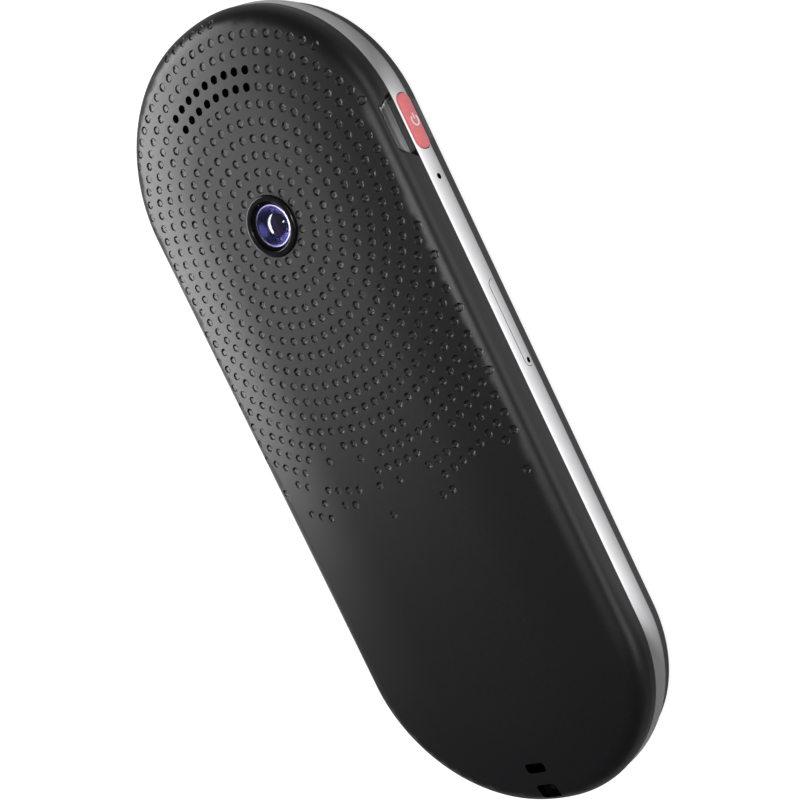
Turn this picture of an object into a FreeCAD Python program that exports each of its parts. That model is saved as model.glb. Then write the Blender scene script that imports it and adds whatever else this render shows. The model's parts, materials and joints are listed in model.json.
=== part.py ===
"""Handheld voice translator, lying on its front glass.

Millimetres. X points to the side of the power button, Y to the camera end, Z out of
the rear cover. The origin is the centre of the front glass, on the surface it rests on.
"""

import FreeCAD
import Part
import math
import os

Vector = FreeCAD.Vector
UP = Vector(0, 0, 1)
ALONG = Vector(0, 1, 0)
ACROSS = Vector(1, 0, 0)

# Overall body
BODY_LENGTH = 130.0
BODY_WIDTH = 51.4
BODY_DEPTH = 11.8
SHOULDER_RADIUS = 24.75
END_RADIUS = 33.75
RIM_TOP = 2.5
BAND_TOP = 6.7

# Rear cover
COVER_WALL = 1.2
COVER_EDGE_INSET = 0.3
COVER_SIDE_RADIUS = 3.0
COVER_CROWN_RADIUS = 92.0
COVER_FLAT_HALF = 10.0
COVER_CORE_SETBACK = 1.0
COVER_OUTER_STEPS = (6, 4)
COVER_INNER_STEPS = (2, 1)

# Metal band between the rear cover and the front rim
BAND_WALL = 2.0
BAND_FOOT_INSET = 0.45
BAND_BULGE_HEIGHT = 4.7
BAND_BULGE_STEPS = 5
BAND_LEDGE_WIDTH = 1.0
BAND_LEDGE_DEPTH = 0.8
LEDGE_ROOM = 1.0

# Front rim, glass and display
RIM_INSET = 0.5
RIM_STRAIGHT = 1.2
RIM_NOSE = 0.25
RIM_NOSE_STEPS = 4
RIM_LIP_INSET = 1.9
RIM_LEDGE_INSET = 4.0
RIM_LEDGE_DEPTH = 0.6
GLASS_DEPTH = 0.9
GLASS_CHAMFER = 0.2
GLASS_GAP = 0.1
DISPLAY_WIDTH = 40.4
DISPLAY_LENGTH = 64.0
DISPLAY_CENTRE_Y = 15.5
DISPLAY_DEPTH = 1.3
DISPLAY_CORNER = 2.0

# Chassis plate
PLATE_DEPTH = 0.6
PLATE_GAP = 0.15
STANDOFF_RADIUS = 1.6
BOARD_LIFT = 0.3

# Screws and the bosses of the rear cover
BOSS_RADIUS = 1.6
BOSS_GAP = 0.25
BOSS_INSET = 3.85
BOSS_YS = (-22.0, 20.0)
BOSS_END_ANGLE = 32.0
BOSS_SETBACK = 0.15
SCREW_RADIUS = 0.7
SCREW_LENGTH = 5.0
SCREW_HEAD_RADIUS = 1.2
SCREW_HEAD_DEPTH = 0.6
SCREW_GAP = 0.05

# Camera
CAMERA_Y = 33.2
CAMERA_RADIUS = 4.6
CAMERA_STAND = 0.35
CAMERA_SEAT_DEPTH = 0.9
CAMERA_BORE_RADIUS = 3.9
BEZEL_LIP_RADIUS = 3.7
BEZEL_THROAT_RADIUS = 3.3
BEZEL_CHAMFER = 0.3
WINDOW_DEPTH = 0.5
WINDOW_SINK = 0.2
WINDOW_GAP = 0.03
BARREL_RADIUS = 3.2
BARREL_DEPTH = 1.1
BARREL_MOUTH_RADIUS = 2.7
LENS_RADIUS = 1.8
LENS_BULGE = 0.45
LENS_RIM_DEPTH = 0.35
CAMERA_BODY_SIDE = 8.5
CAMERA_BODY_DEPTH = 4.2
CAMERA_BODY_CORNER = 0.7
CAMERA_GAP = 0.1
BRACKET_WALL = 0.5

# Speaker behind its two arcs of holes
SPEAKER_HOLE_RADIUS = 0.65
SPEAKER_ARC_RADII = (22.5, 20.1)
SPEAKER_ARC_COUNTS = (9, 8)
SPEAKER_HOLE_PITCH = 2.06
SPEAKER_LENGTH = 28.0
SPEAKER_WIDTH = 9.0
SPEAKER_DEPTH = 4.0
SPEAKER_TOP = 9.6
SPEAKER_CORNER = 2.0
SPEAKER_SHIFT = 1.5
MESH_DEPTH = 0.15
GASKET_WALL = 1.0

# Lanyard loop at the lower end of the rear cover
LANYARD_HOLE_Y = -57.8
LANYARD_HOLE_LENGTH = 1.7
LANYARD_HOLE_WIDTH = 3.5
LANYARD_BAR = 2.2
LANYARD_EXIT_LENGTH = 2.6
LANYARD_FLOOR = 8.0
LANYARD_TUNNEL = 1.6
LANYARD_CORNER = 0.55
LANYARD_LAND = 1.5
LANYARD_BLOCK_FLOOR = 7.0

# Power button and the thumb scoop around it
BUTTON_Y = 36.9
BUTTON_Z = 4.6
BUTTON_LENGTH = 8.3
BUTTON_WIDTH = 3.1
BUTTON_CORNER = 1.3
BUTTON_PROUD = 0.25
BUTTON_EDGE = 0.2
BUTTON_GAP = 0.12
BUTTON_TRAVEL = 0.4
BUTTON_LUG = 1.0
BUTTON_LUG_DEPTH = 0.6
BUTTON_STEM_RADIUS = 0.9
BUTTON_STEM_LENGTH = 0.5
STOP_GAP = 0.1
SCOOP_LENGTH = 9.8
SCOOP_TOP_LENGTH = 6.8
SCOOP_HEIGHT = 2.9
SCOOP_DEPTH = 1.0
SCOOP_PAD = 1.4
RIM_SCOOP_TOP_LENGTH = 8.6
RIM_SCOOP_HEIGHT = 1.2
RIM_SCOOP_DEPTH = 0.5

# Switches under the side keys
SWITCH_DEPTH = 0.6
SWITCH_LENGTH = 3.6
SWITCH_HEIGHT = 2.4
FLEX_DEPTH = 0.2
TAB_DEPTH = 0.8
TAB_HEIGHT = 3.4
SWITCH_GAP = 0.05

# Volume rocker on the other side
ROCKER_Y = 34.0
ROCKER_Z = 4.6
ROCKER_LENGTH = 16.0
ROCKER_WIDTH = 2.4
ROCKER_PROUD = 0.3
ROCKER_GAP = 0.18
ROCKER_AXLE_RADIUS = 0.45
ROCKER_AXLE_LENGTH = 3.4
ROCKER_AXLE_SINK = 0.05
ROCKER_PEG_SPACING = 11.0
ROCKER_PEG_RADIUS = 0.8
ROCKER_PEG_LENGTH = 0.4
ROCKER_SWING = 2.0

# Talk keys under the display
KEY_YS = (-27.0, -41.0)
KEY_NAMES = ("talk_key_upper", "talk_key_lower")
KEY_LENGTH = 22.0
KEY_WIDTH = 9.0
KEY_SINK = 0.15
KEY_GAP = 0.2
KEY_FLANGE = 1.0
KEY_FLANGE_DEPTH = 0.6
KEY_EDGE = 0.2
KEY_PEG_RADIUS = 1.5
KEY_PEG_LENGTH = 0.25
KEY_TRAVEL = 0.35
KEY_SWITCH_SIDE = 5.0
KEY_SWITCH_CORNER = 0.6
KEY_SWITCH_RADIUS = 1.6
KEY_BOARD_DEPTH = 0.6
KEY_BOARD_MARGIN = 4.0
KEY_WINDOW_MARGIN = 1.6
KEY_WINDOW_CORNER = 1.4

# Card tray and its socket
TRAY_Y = 5.8
TRAY_Z = 4.15
TRAY_HEAD_LENGTH = 13.4
TRAY_HEAD_WIDTH = 2.0
TRAY_GAP = 0.08
TRAY_BODY_WIDTH = 10.7
TRAY_BODY_SHIFT = 0.7
TRAY_BODY_LENGTH = 17.0
TRAY_BODY_DEPTH = 0.75
TRAY_ROOT = 0.5
CARD_LENGTH = 12.4
CARD_WIDTH = 8.9
CARD_LEDGE = 0.6
CARD_LEDGE_DEPTH = 0.3
CARD_CORNER = 1.2
TRAY_RIM = 1.2
PIN_HOLE_RADIUS = 0.45
PIN_HOLE_INSET = 0.87
SOCKET_WALL = 0.2
SOCKET_GAP = 0.15
SOCKET_SETBACK = 1.9

# Main board and what it carries
BOARD_DEPTH = 0.7
BOARD_INSET = 3.2
BOARD_LOW_Y = -6.0
BOARD_SCREW_HIGH_Y = 46.0
BOARD_SCREW_MIDDLE_Y = 15.6
BOARD_SCREW_SHIFT = 1.0
CAN_DEPTH = 1.8
CAN_CORNER = 0.6
CAN_LARGE_SIZE = (26.0, 11.0)
CAN_LARGE_CENTRE = (-2.5, 18.5)
CAN_SMALL_SIZE = (15.0, 14.0)
CAN_SMALL_CENTRE = (-7.0, 3.0)

# Battery
BATTERY_WIDTH = 36.0
BATTERY_LENGTH = 41.0
BATTERY_DEPTH = 5.2
BATTERY_CENTRE_Y = -29.0
BATTERY_CORNER = 2.2
TRAY_FLOOR = 0.5
TRAY_WALL = 0.8
TRAY_WALL_HEIGHT = 2.0
BATTERY_GAP = 0.1
FOAM_WIDTH = 18.0
FOAM_LENGTH = 24.0

# Charging port and its board
PORT_WIDTH = 8.94
PORT_HEIGHT = 3.16
PORT_WALL = 0.3
PORT_DEPTH = 7.3
PORT_SETBACK = 0.5
PORT_GAP = 0.17
TONGUE_WIDTH = 6.69
TONGUE_DEPTH = 0.7
TONGUE_SETBACK = 0.8
PORT_BACK = 1.2
PORT_Z = 4.6
PORT_BOARD_WIDTH = 28.0
PORT_BOARD_LENGTH = 9.5
PORT_BOARD_DEPTH = 0.6
PORT_BOARD_LOW_Y = -60.5

# Microphones
MIC_HOLE_RADIUS = 0.45
MIC_Y = 28.5
MIC_Z = 4.8
MIC_SIZE = (3.4, 2.6, 0.6)
MIC_BOOT_SIDE = 2.4
MIC_BORE_RADIUS = 0.35
LOW_MIC_X = 9.4
LOW_MIC_Z = 4.3

HALF_WIDTH = BODY_WIDTH / 2
HALF_LENGTH = BODY_LENGTH / 2
SHOULDER_X = HALF_WIDTH - SHOULDER_RADIUS
SHOULDER_ANGLE = math.degrees(math.acos(SHOULDER_X / (END_RADIUS - SHOULDER_RADIUS)))
END_Y = HALF_LENGTH - END_RADIUS
SHOULDER_Y = END_Y + (END_RADIUS - SHOULDER_RADIUS) * math.sin(math.radians(SHOULDER_ANGLE))
CORE_HALF = COVER_FLAT_HALF - COVER_CORE_SETBACK

DISPLAY_BACK = GLASS_DEPTH + DISPLAY_DEPTH
PLATE_BACK = DISPLAY_BACK + PLATE_DEPTH
BOARD_FRONT = PLATE_BACK + BOARD_LIFT
BOARD_BACK = BOARD_FRONT + BOARD_DEPTH
BAND_INNER_X = HALF_WIDTH - BAND_WALL
BEYOND = 1.0
TINY = 1e-6


def point(x, z):
    return Vector(x, 0, z)


def line(a, b):
    return Part.LineSegment(a, b).toShape()


def arc(a, middle, b):
    return Part.Arc(a, middle, b).toShape()


def turned_points(centre, radius, start, end, steps):
    """Points on an arc in the XZ plane, its angles in degrees from +X to +Z."""
    angles = [math.radians(start + (end - start) * i / steps) for i in range(steps + 1)]
    return [centre + point(radius * math.cos(a), radius * math.sin(a)) for a in angles]


def polyline(points):
    return [line(a, b) for a, b in zip(points, points[1:])]


def face_of(edges):
    return Part.Face(Part.Wire(Part.__sortEdges__(edges)))


def outline_face(inset, z):
    """The body's outline, drawn in by an inset, at a height."""
    side = HALF_WIDTH - inset
    shoulder = SHOULDER_RADIUS - inset
    tip = END_RADIUS - inset
    angle = math.radians(SHOULDER_ANGLE)
    right = Vector(SHOULDER_X, SHOULDER_Y, z)
    left = Vector(-SHOULDER_X, SHOULDER_Y, z)
    end = Vector(0, END_Y, z)

    def turned(centre, radius, a):
        return centre + Vector(radius * math.cos(a), radius * math.sin(a), 0)

    half = [
        line(Vector(side, -SHOULDER_Y, z), Vector(side, SHOULDER_Y, z)),
        arc(*[turned(right, shoulder, angle * share) for share in (0, 0.5, 1)]),
        arc(*[turned(end, tip, a) for a in (angle, math.pi / 2, math.pi - angle)]),
        arc(*[turned(left, shoulder, math.pi - angle * share) for share in (1, 0.5, 0)]),
    ]
    edges = half + [edge.rotated(Vector(), UP, 180) for edge in half]
    return face_of(edges)


def plate(inset, low, high):
    """A plate with the body's outline."""
    return outline_face(inset, low).extrude(UP * (high - low))


def mirrored(shape, normal):
    return shape.mirror(Vector(), normal)


def carry_round(section):
    """Carries a section, drawn in the XZ plane on the +X side, all round the outline."""
    start = section.translated(Vector(0, SHOULDER_Y, 0))
    run = start.extrude(Vector(0, -2 * SHOULDER_Y, 0))
    pivot = Vector(SHOULDER_X, SHOULDER_Y, 0)
    shoulder = start.revolve(pivot, UP, SHOULDER_ANGLE)
    turned = start.copy()
    turned.rotate(pivot, UP, SHOULDER_ANGLE)
    end = turned.revolve(Vector(0, END_Y, 0), UP, 180 - 2 * SHOULDER_ANGLE)
    top = [shoulder, mirrored(shoulder, ACROSS), end]
    pieces = top + [mirrored(piece, ALONG) for piece in top]
    pieces += [run, mirrored(run, ACROSS)]
    return pieces[0].multiFuse(pieces[1:]).removeSplitter()


def rounded_plate(centre_x, centre_y, width, length, corner, low, high):
    """A rectangular plate with rounded corners, width along X and length along Y."""
    block = Part.makeBox(
        width, length, high - low, Vector(centre_x - width / 2, centre_y - length / 2, low)
    )
    if corner <= 0:
        return block
    upright = [edge for edge in block.Edges if is_parallel(edge, UP)]
    return block.makeFillet(corner, upright)


def is_parallel(edge, direction):
    tangent = edge.tangentAt(edge.FirstParameter)
    return tangent.cross(direction).Length < TINY


def side_plate(centre_y, centre_z, length, width, corner, low_x, high_x):
    """A plate seen from the side: length along Y, width along Z, depth along X."""
    block = Part.makeBox(
        high_x - low_x,
        length,
        width,
        Vector(low_x, centre_y - length / 2, centre_z - width / 2),
    )
    if corner <= 0:
        return block
    across = [edge for edge in block.Edges if is_parallel(edge, ACROSS)]
    return block.makeFillet(corner, across)


def oblong(centre, along, length, width, push):
    """A bar with round ends: its length runs along one direction, its depth is the push."""
    straight = along * ((length - width) / 2)
    sideways = along.cross(push).normalize() * (width / 2)
    tip = along * (width / 2)
    near = centre - straight
    far = centre + straight
    edges = [
        line(near + sideways, far + sideways),
        arc(far + sideways, far + tip, far - sideways),
        line(far - sideways, near - sideways),
        arc(near - sideways, near - tip, near + sideways),
    ]
    return face_of(edges).extrude(push)


def pin(x, y, low, high, radius):
    return Part.makeCylinder(radius, high - low, Vector(x, y, low))


def side_pin(y, z, low_x, high_x, radius):
    return Part.makeCylinder(radius, high_x - low_x, Vector(low_x, y, z), ACROSS)


def fused(pieces):
    return pieces[0].multiFuse(pieces[1:]).removeSplitter() if len(pieces) > 1 else pieces[0]


def save(name, shape):
    """Writes one sub-part once it is known to be sound."""
    if not shape.isValid() or not shape.Solids:
        raise ValueError(name + " is not a sound solid")
    shape.exportStep(os.path.join("parts", name + ".step"))


def dome(shrink, steps):
    """The rear cover's outer form, filled, or the same form drawn in evenly by a wall.

    The side corner and the crown above it are each turned in a few short straight steps.
    """
    corner_steps, crown_steps = steps
    side = HALF_WIDTH - COVER_EDGE_INSET - shrink
    top = BODY_DEPTH - shrink
    corner = COVER_SIDE_RADIUS - shrink
    crown = COVER_CROWN_RADIUS - shrink
    corner_x = side - corner
    reach = crown - corner
    crown_centre = Vector(COVER_FLAT_HALF, 0, top - crown)
    rise = math.sqrt(reach ** 2 - (corner_x - COVER_FLAT_HALF) ** 2)
    corner_centre = point(corner_x, top - crown + rise)
    crown_end = math.degrees(math.acos((corner_x - COVER_FLAT_HALF) / reach))
    edges = polyline(
        [
            point(COVER_FLAT_HALF, top),
            point(CORE_HALF, top),
            point(CORE_HALF, BAND_TOP),
            point(side, BAND_TOP),
            point(side, corner_centre.z),
        ]
    )
    edges += polyline(turned_points(corner_centre, corner, 0, crown_end, corner_steps))
    edges += polyline(turned_points(crown_centre, crown, crown_end, 90, crown_steps))
    ring = carry_round(face_of(edges))
    core = plate(HALF_WIDTH - CORE_HALF - COVER_CORE_SETBACK / 2, BAND_TOP, top)
    return ring.fuse(core).removeSplitter()


def boss_places():
    """Centres of the six screw bosses, inside the side walls and the shoulders."""
    side = HALF_WIDTH - BOSS_INSET
    places = [(sign * side, y) for sign in (1, -1) for y in BOSS_YS]
    angle = math.radians(BOSS_END_ANGLE)
    reach = SHOULDER_RADIUS - BOSS_INSET
    x = SHOULDER_X + reach * math.cos(angle)
    y = SHOULDER_Y + reach * math.sin(angle)
    places += [(sign_x * x, sign_y * y) for sign_x in (1, -1) for sign_y in (1, -1)]
    return places


def speaker_holes(low, high):
    holes = []
    for radius, count in zip(SPEAKER_ARC_RADII, SPEAKER_ARC_COUNTS):
        pitch = SPEAKER_HOLE_PITCH / radius
        for index in range(count):
            angle = (index - (count - 1) / 2) * pitch
            x = radius * math.sin(angle)
            y = CAMERA_Y + radius * math.cos(angle)
            holes.append(pin(x, y, low, high, SPEAKER_HOLE_RADIUS))
    return holes


def scoop(top_z, height, low_length, high_length, depth, face_x, upward):
    """A hollow for a thumb: a round cut along Y that narrows away from the button."""
    radius = (height ** 2 + depth ** 2) / (2 * depth)
    round_cut = Part.makeCylinder(
        radius, low_length, Vector(face_x - depth + radius, BUTTON_Y - low_length / 2, top_z), ALONG
    )
    sign = 1 if upward else -1
    half_low = low_length / 2
    half_high = high_length / 2
    corners = [
        Vector(0, BUTTON_Y - half_low, top_z - sign * depth),
        Vector(0, BUTTON_Y - half_low, top_z),
        Vector(0, BUTTON_Y - half_high, top_z + sign * height),
        Vector(0, BUTTON_Y + half_high, top_z + sign * height),
        Vector(0, BUTTON_Y + half_low, top_z),
        Vector(0, BUTTON_Y + half_low, top_z - sign * depth),
    ]
    window = Part.Face(Part.makePolygon(corners + corners[:1]))
    window = window.extrude(ACROSS * (2 * HALF_WIDTH))
    return round_cut.common(window)


def lanyard_passage():
    """Two mouths in the cover's back and the tunnel under the bar between them."""
    inner_end = LANYARD_HOLE_Y + LANYARD_HOLE_LENGTH / 2
    bar_start = LANYARD_HOLE_Y - LANYARD_HOLE_LENGTH / 2
    exit_start = bar_start - LANYARD_BAR
    exit_end = exit_start - LANYARD_EXIT_LENGTH
    mouth = rounded_plate(
        0, LANYARD_HOLE_Y, LANYARD_HOLE_WIDTH, LANYARD_HOLE_LENGTH, LANYARD_CORNER,
        LANYARD_FLOOR, BODY_DEPTH + BEYOND
    )
    way_out = rounded_plate(
        0, (exit_start + exit_end) / 2, LANYARD_HOLE_WIDTH, LANYARD_EXIT_LENGTH,
        LANYARD_CORNER, LANYARD_FLOOR, BODY_DEPTH + BEYOND
    )
    tunnel = rounded_plate(
        0, (inner_end + exit_end) / 2, LANYARD_HOLE_WIDTH, inner_end - exit_end,
        LANYARD_CORNER, LANYARD_FLOOR, LANYARD_FLOOR + LANYARD_TUNNEL
    )
    return fused([mouth, way_out, tunnel])


def make_rear_cover(outer, inner):
    shell = outer.cut(inner)
    within = outer.common(plate(COVER_EDGE_INSET, PLATE_BACK, BODY_DEPTH))
    reach = plate(COVER_EDGE_INSET + BOSS_SETBACK, PLATE_BACK, BAND_TOP).fuse(outer)
    ribs = [pin(x, y, PLATE_BACK, BODY_DEPTH, BOSS_RADIUS).common(reach) for x, y in boss_places()]
    block_end = LANYARD_HOLE_Y + LANYARD_HOLE_LENGTH / 2 + LANYARD_LAND
    block = Part.makeBox(
        LANYARD_HOLE_WIDTH + 2 * LANYARD_LAND,
        HALF_LENGTH + block_end,
        BODY_DEPTH - LANYARD_BLOCK_FLOOR,
        Vector(-LANYARD_HOLE_WIDTH / 2 - LANYARD_LAND, -HALF_LENGTH, LANYARD_BLOCK_FLOOR),
    )
    pad_x = HALF_WIDTH - COVER_EDGE_INSET - COVER_WALL - SCOOP_PAD
    pad = Part.makeBox(
        HALF_WIDTH - COVER_EDGE_INSET - pad_x - COVER_WALL / 2,
        SCOOP_LENGTH + 2 * COVER_WALL,
        BODY_DEPTH - BAND_TOP,
        Vector(pad_x, BUTTON_Y - SCOOP_LENGTH / 2 - COVER_WALL, BAND_TOP),
    )
    cover = fused([shell, block.common(within), pad.common(within)] + ribs)
    seat = BODY_DEPTH - CAMERA_SEAT_DEPTH
    cuts = [
        pin(0, CAMERA_Y, seat, BODY_DEPTH + BEYOND, CAMERA_RADIUS + CAMERA_GAP),
        pin(0, CAMERA_Y, BAND_TOP, BODY_DEPTH, CAMERA_BORE_RADIUS),
        lanyard_passage(),
        scoop(
            BAND_TOP, SCOOP_HEIGHT, SCOOP_LENGTH, SCOOP_TOP_LENGTH, SCOOP_DEPTH,
            HALF_WIDTH - COVER_EDGE_INSET, True
        ),
    ]
    cuts += speaker_holes(BAND_TOP, BODY_DEPTH + BEYOND)
    thread_end = DISPLAY_BACK + SCREW_LENGTH + SCREW_GAP
    cuts += [pin(x, y, PLATE_BACK, thread_end, SCREW_RADIUS + SCREW_GAP) for x, y in boss_places()]
    return cover.cut(Part.makeCompound(cuts))


def band_bulge():
    """The band's bulging outer edge, in the section's plane."""
    low = point(HALF_WIDTH - BAND_FOOT_INSET, RIM_TOP)
    middle = point(HALF_WIDTH, BAND_BULGE_HEIGHT)
    high = point(HALF_WIDTH - COVER_EDGE_INSET, BAND_TOP)
    return arc(low, middle, high)


def make_band_blank():
    """The whole band before its openings are cut."""
    ledge_inset = BAND_WALL + BAND_LEDGE_WIDTH
    edges = polyline(
        band_bulge().discretize(BAND_BULGE_STEPS + 1)
        + [
            point(BAND_INNER_X, BAND_TOP),
            point(BAND_INNER_X, PLATE_BACK + BAND_LEDGE_DEPTH),
            point(HALF_WIDTH - ledge_inset, PLATE_BACK + BAND_LEDGE_DEPTH),
            point(HALF_WIDTH - ledge_inset, PLATE_BACK),
            point(BAND_INNER_X, PLATE_BACK),
            point(BAND_INNER_X, RIM_TOP),
            point(HALF_WIDTH - BAND_FOOT_INSET, RIM_TOP),
        ]
    )
    return carry_round(face_of(edges))


def band_skin(grow):
    """A solid bar behind the band's bulge on the +X side, its face moved out by an amount."""
    circle = band_bulge().Curve
    centre = circle.Center
    radius = circle.Radius + grow
    return Part.makeCylinder(
        radius, BODY_LENGTH, Vector(centre.x, -HALF_LENGTH, centre.z), ALONG
    )


def port_tube(grow, depth, low_y):
    """The charging port's rounded oblong, along Y."""
    centre = Vector(0, low_y, PORT_Z)
    return oblong(centre, ACROSS, PORT_WIDTH + 2 * grow, PORT_HEIGHT + 2 * grow, ALONG * depth)


def make_side_frame(blank):
    wall_low = BAND_INNER_X - BEYOND
    outside = HALF_WIDTH + BEYOND
    ledge_high = PLATE_BACK + BAND_LEDGE_DEPTH
    room_width = BAND_LEDGE_WIDTH + LEDGE_ROOM
    cuts = [
        side_plate(
            BUTTON_Y, BUTTON_Z, BUTTON_LENGTH + 2 * BUTTON_GAP, BUTTON_WIDTH + 2 * BUTTON_GAP,
            BUTTON_CORNER + BUTTON_GAP, wall_low, outside
        ),
        oblong(
            Vector(wall_low, TRAY_Y, TRAY_Z), ALONG, TRAY_HEAD_LENGTH + 2 * TRAY_GAP,
            TRAY_HEAD_WIDTH + 2 * TRAY_GAP, ACROSS * (outside - wall_low)
        ),
        side_pin(MIC_Y, MIC_Z, wall_low, outside, MIC_HOLE_RADIUS),
        oblong(
            Vector(-wall_low, ROCKER_Y, ROCKER_Z), ALONG, ROCKER_LENGTH + 2 * ROCKER_GAP,
            ROCKER_WIDTH + 2 * ROCKER_GAP, ACROSS * (wall_low - outside)
        ),
        port_tube(PORT_GAP, 2 * BAND_WALL + BAND_LEDGE_WIDTH, -HALF_LENGTH - BEYOND),
        Part.makeCylinder(
            MIC_HOLE_RADIUS, 3 * BAND_WALL, Vector(LOW_MIC_X, -HALF_LENGTH - BEYOND, LOW_MIC_Z), ALONG
        ),
    ]
    ledge_rooms = [
        (BUTTON_Y, BUTTON_LENGTH + 2 * BUTTON_LUG, 1),
        (TRAY_Y, TRAY_HEAD_LENGTH, 1),
        (MIC_Y, MIC_SIZE[0], 1),
        (ROCKER_Y, ROCKER_LENGTH, -1),
    ]
    for centre_y, length, side in ledge_rooms:
        middle_x = side * (BAND_INNER_X - room_width / 2)
        room = length + 2 * LEDGE_ROOM
        cuts.append(
            rounded_plate(
                middle_x, centre_y, room_width, room, 0, PLATE_BACK, ledge_high
            )
        )
    cuts.append(
        rounded_plate(
            0, PORT_BOARD_LOW_Y + PORT_BOARD_LENGTH / 2, PORT_BOARD_WIDTH + LEDGE_ROOM,
            PORT_BOARD_LENGTH + LEDGE_ROOM, 0, PLATE_BACK, ledge_high
        )
    )
    for x, y in boss_places():
        cuts.append(pin(x, y, PLATE_BACK, ledge_high, BOSS_RADIUS + BOSS_GAP))
    return blank.cut(Part.makeCompound(cuts))


def make_front_bezel():
    outer = HALF_WIDTH - RIM_INSET
    lip = HALF_WIDTH - RIM_LIP_INSET
    ledge = HALF_WIDTH - RIM_LEDGE_INSET
    wall = BAND_INNER_X
    nose = []
    for i in range(RIM_NOSE_STEPS + 1):
        turn = math.pi / 2 * i / RIM_NOSE_STEPS
        x = lip + (outer - lip) * math.cos(turn)
        nose.append(point(x, RIM_STRAIGHT - (RIM_STRAIGHT - RIM_NOSE) * math.sin(turn)))
    edges = polyline(
        nose
        + [
            point(lip, GLASS_DEPTH),
            point(ledge, GLASS_DEPTH),
            point(ledge, GLASS_DEPTH + RIM_LEDGE_DEPTH),
            point(wall, GLASS_DEPTH + RIM_LEDGE_DEPTH),
            point(wall, RIM_TOP),
            point(outer, RIM_TOP),
            point(outer, RIM_STRAIGHT),
        ]
    )
    ring = carry_round(face_of(edges))
    dent = scoop(
        RIM_TOP, RIM_SCOOP_HEIGHT, SCOOP_LENGTH, RIM_SCOOP_TOP_LENGTH, RIM_SCOOP_DEPTH, outer, False
    )
    return ring.cut(dent)


def key_shape(centre_y, grow, low, high):
    """A talk key's oblong with round ends."""
    centre = Vector(0, centre_y, low)
    return oblong(centre, ACROSS, KEY_LENGTH + 2 * grow, KEY_WIDTH + 2 * grow, UP * (high - low))


def make_front_glass():
    glass = plate(RIM_LIP_INSET + GLASS_GAP, 0, GLASS_DEPTH)
    rim = [edge for edge in glass.Edges if edge.BoundBox.ZMax < TINY]
    glass = glass.makeChamfer(GLASS_CHAMFER, rim)
    holes = [key_shape(y, KEY_GAP, 0, GLASS_DEPTH) for y in KEY_YS]
    return glass.cut(Part.makeCompound(holes))


def make_talk_key(centre_y):
    front = GLASS_DEPTH + STOP_GAP
    cap = key_shape(centre_y, 0, KEY_SINK, front)
    rim = [edge for edge in cap.Edges if edge.BoundBox.ZMax < KEY_SINK + TINY]
    cap = cap.makeChamfer(KEY_EDGE, rim)
    flange = key_shape(centre_y, KEY_FLANGE, front, front + KEY_FLANGE_DEPTH)
    peg_low = front + KEY_FLANGE_DEPTH
    peg = pin(0, centre_y, peg_low, peg_low + KEY_PEG_LENGTH, KEY_PEG_RADIUS)
    return fused([cap, flange, peg])


def make_key_switches():
    """Two dome switches on the key board, clear of the pegs by the keys' travel."""
    peg_end = GLASS_DEPTH + STOP_GAP + KEY_FLANGE_DEPTH + KEY_PEG_LENGTH
    low = peg_end + KEY_TRAVEL + SWITCH_GAP
    domes = []
    for y in KEY_YS:
        side = KEY_SWITCH_SIDE
        base = rounded_plate(
            0, y, side, side, KEY_SWITCH_CORNER, (low + PLATE_BACK) / 2, PLATE_BACK
        )
        button = pin(0, y, low, (low + PLATE_BACK) / 2, KEY_SWITCH_RADIUS)
        domes.append(fused([base, button]))
    return Part.makeCompound(domes)


def key_board_span():
    low = min(KEY_YS) - KEY_WIDTH / 2 - KEY_BOARD_MARGIN
    high = max(KEY_YS) + KEY_WIDTH / 2 + KEY_BOARD_MARGIN
    return low, high


def make_chassis():
    body = plate(BAND_WALL + PLATE_GAP, DISPLAY_BACK, PLATE_BACK)
    windows = []
    for y in KEY_YS:
        side = KEY_SWITCH_SIDE + 2 * KEY_WINDOW_MARGIN
        windows.append(rounded_plate(0, y, side, side, KEY_WINDOW_CORNER, 0, PLATE_BACK))
    holes = [pin(x, y, 0, PLATE_BACK, SCREW_RADIUS + SCREW_GAP) for x, y in boss_places()]
    body = body.cut(Part.makeCompound(windows + holes))
    lifts = [pin(x, y, PLATE_BACK, BOARD_FRONT, STANDOFF_RADIUS) for x, y in board_screw_places()]
    tabs = []
    for centre_y, length, side, back in switch_tabs():
        low, high = sorted((side * back, side * (back - TAB_DEPTH)))
        tabs.append(
            side_plate(
                centre_y, PLATE_BACK + TAB_HEIGHT / 2, length, TAB_HEIGHT, 0, low, high
            )
        )
    return fused([body] + lifts + tabs)


def switch_tabs():
    """Places of the upright tabs that carry the side switches."""
    button_back = button_stem_end() - BUTTON_TRAVEL - SWITCH_GAP - SWITCH_DEPTH - FLEX_DEPTH
    swing = ROCKER_PEG_SPACING / 2 * math.sin(math.radians(ROCKER_SWING))
    rocker_back = rocker_peg_end() - swing - SWITCH_GAP - SWITCH_DEPTH - FLEX_DEPTH
    return [
        (BUTTON_Y, BUTTON_LENGTH, 1, button_back),
        (ROCKER_Y, ROCKER_LENGTH, -1, rocker_back),
    ]


def board_screw_places():
    side = HALF_WIDTH - BOARD_INSET - 2 * STANDOFF_RADIUS
    high = side - BOARD_SCREW_SHIFT
    return [
        (-side, BOARD_LOW_Y + 2 * STANDOFF_RADIUS),
        (-high, BOARD_SCREW_HIGH_Y),
        (high, BOARD_SCREW_HIGH_Y),
        (side, BOARD_SCREW_MIDDLE_Y),
    ]


def button_stem_end():
    return BAND_INNER_X - STOP_GAP - BUTTON_LUG_DEPTH - BUTTON_STEM_LENGTH


def rocker_peg_end():
    return BAND_INNER_X - STOP_GAP - 2 * ROCKER_AXLE_RADIUS - ROCKER_PEG_LENGTH


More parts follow.
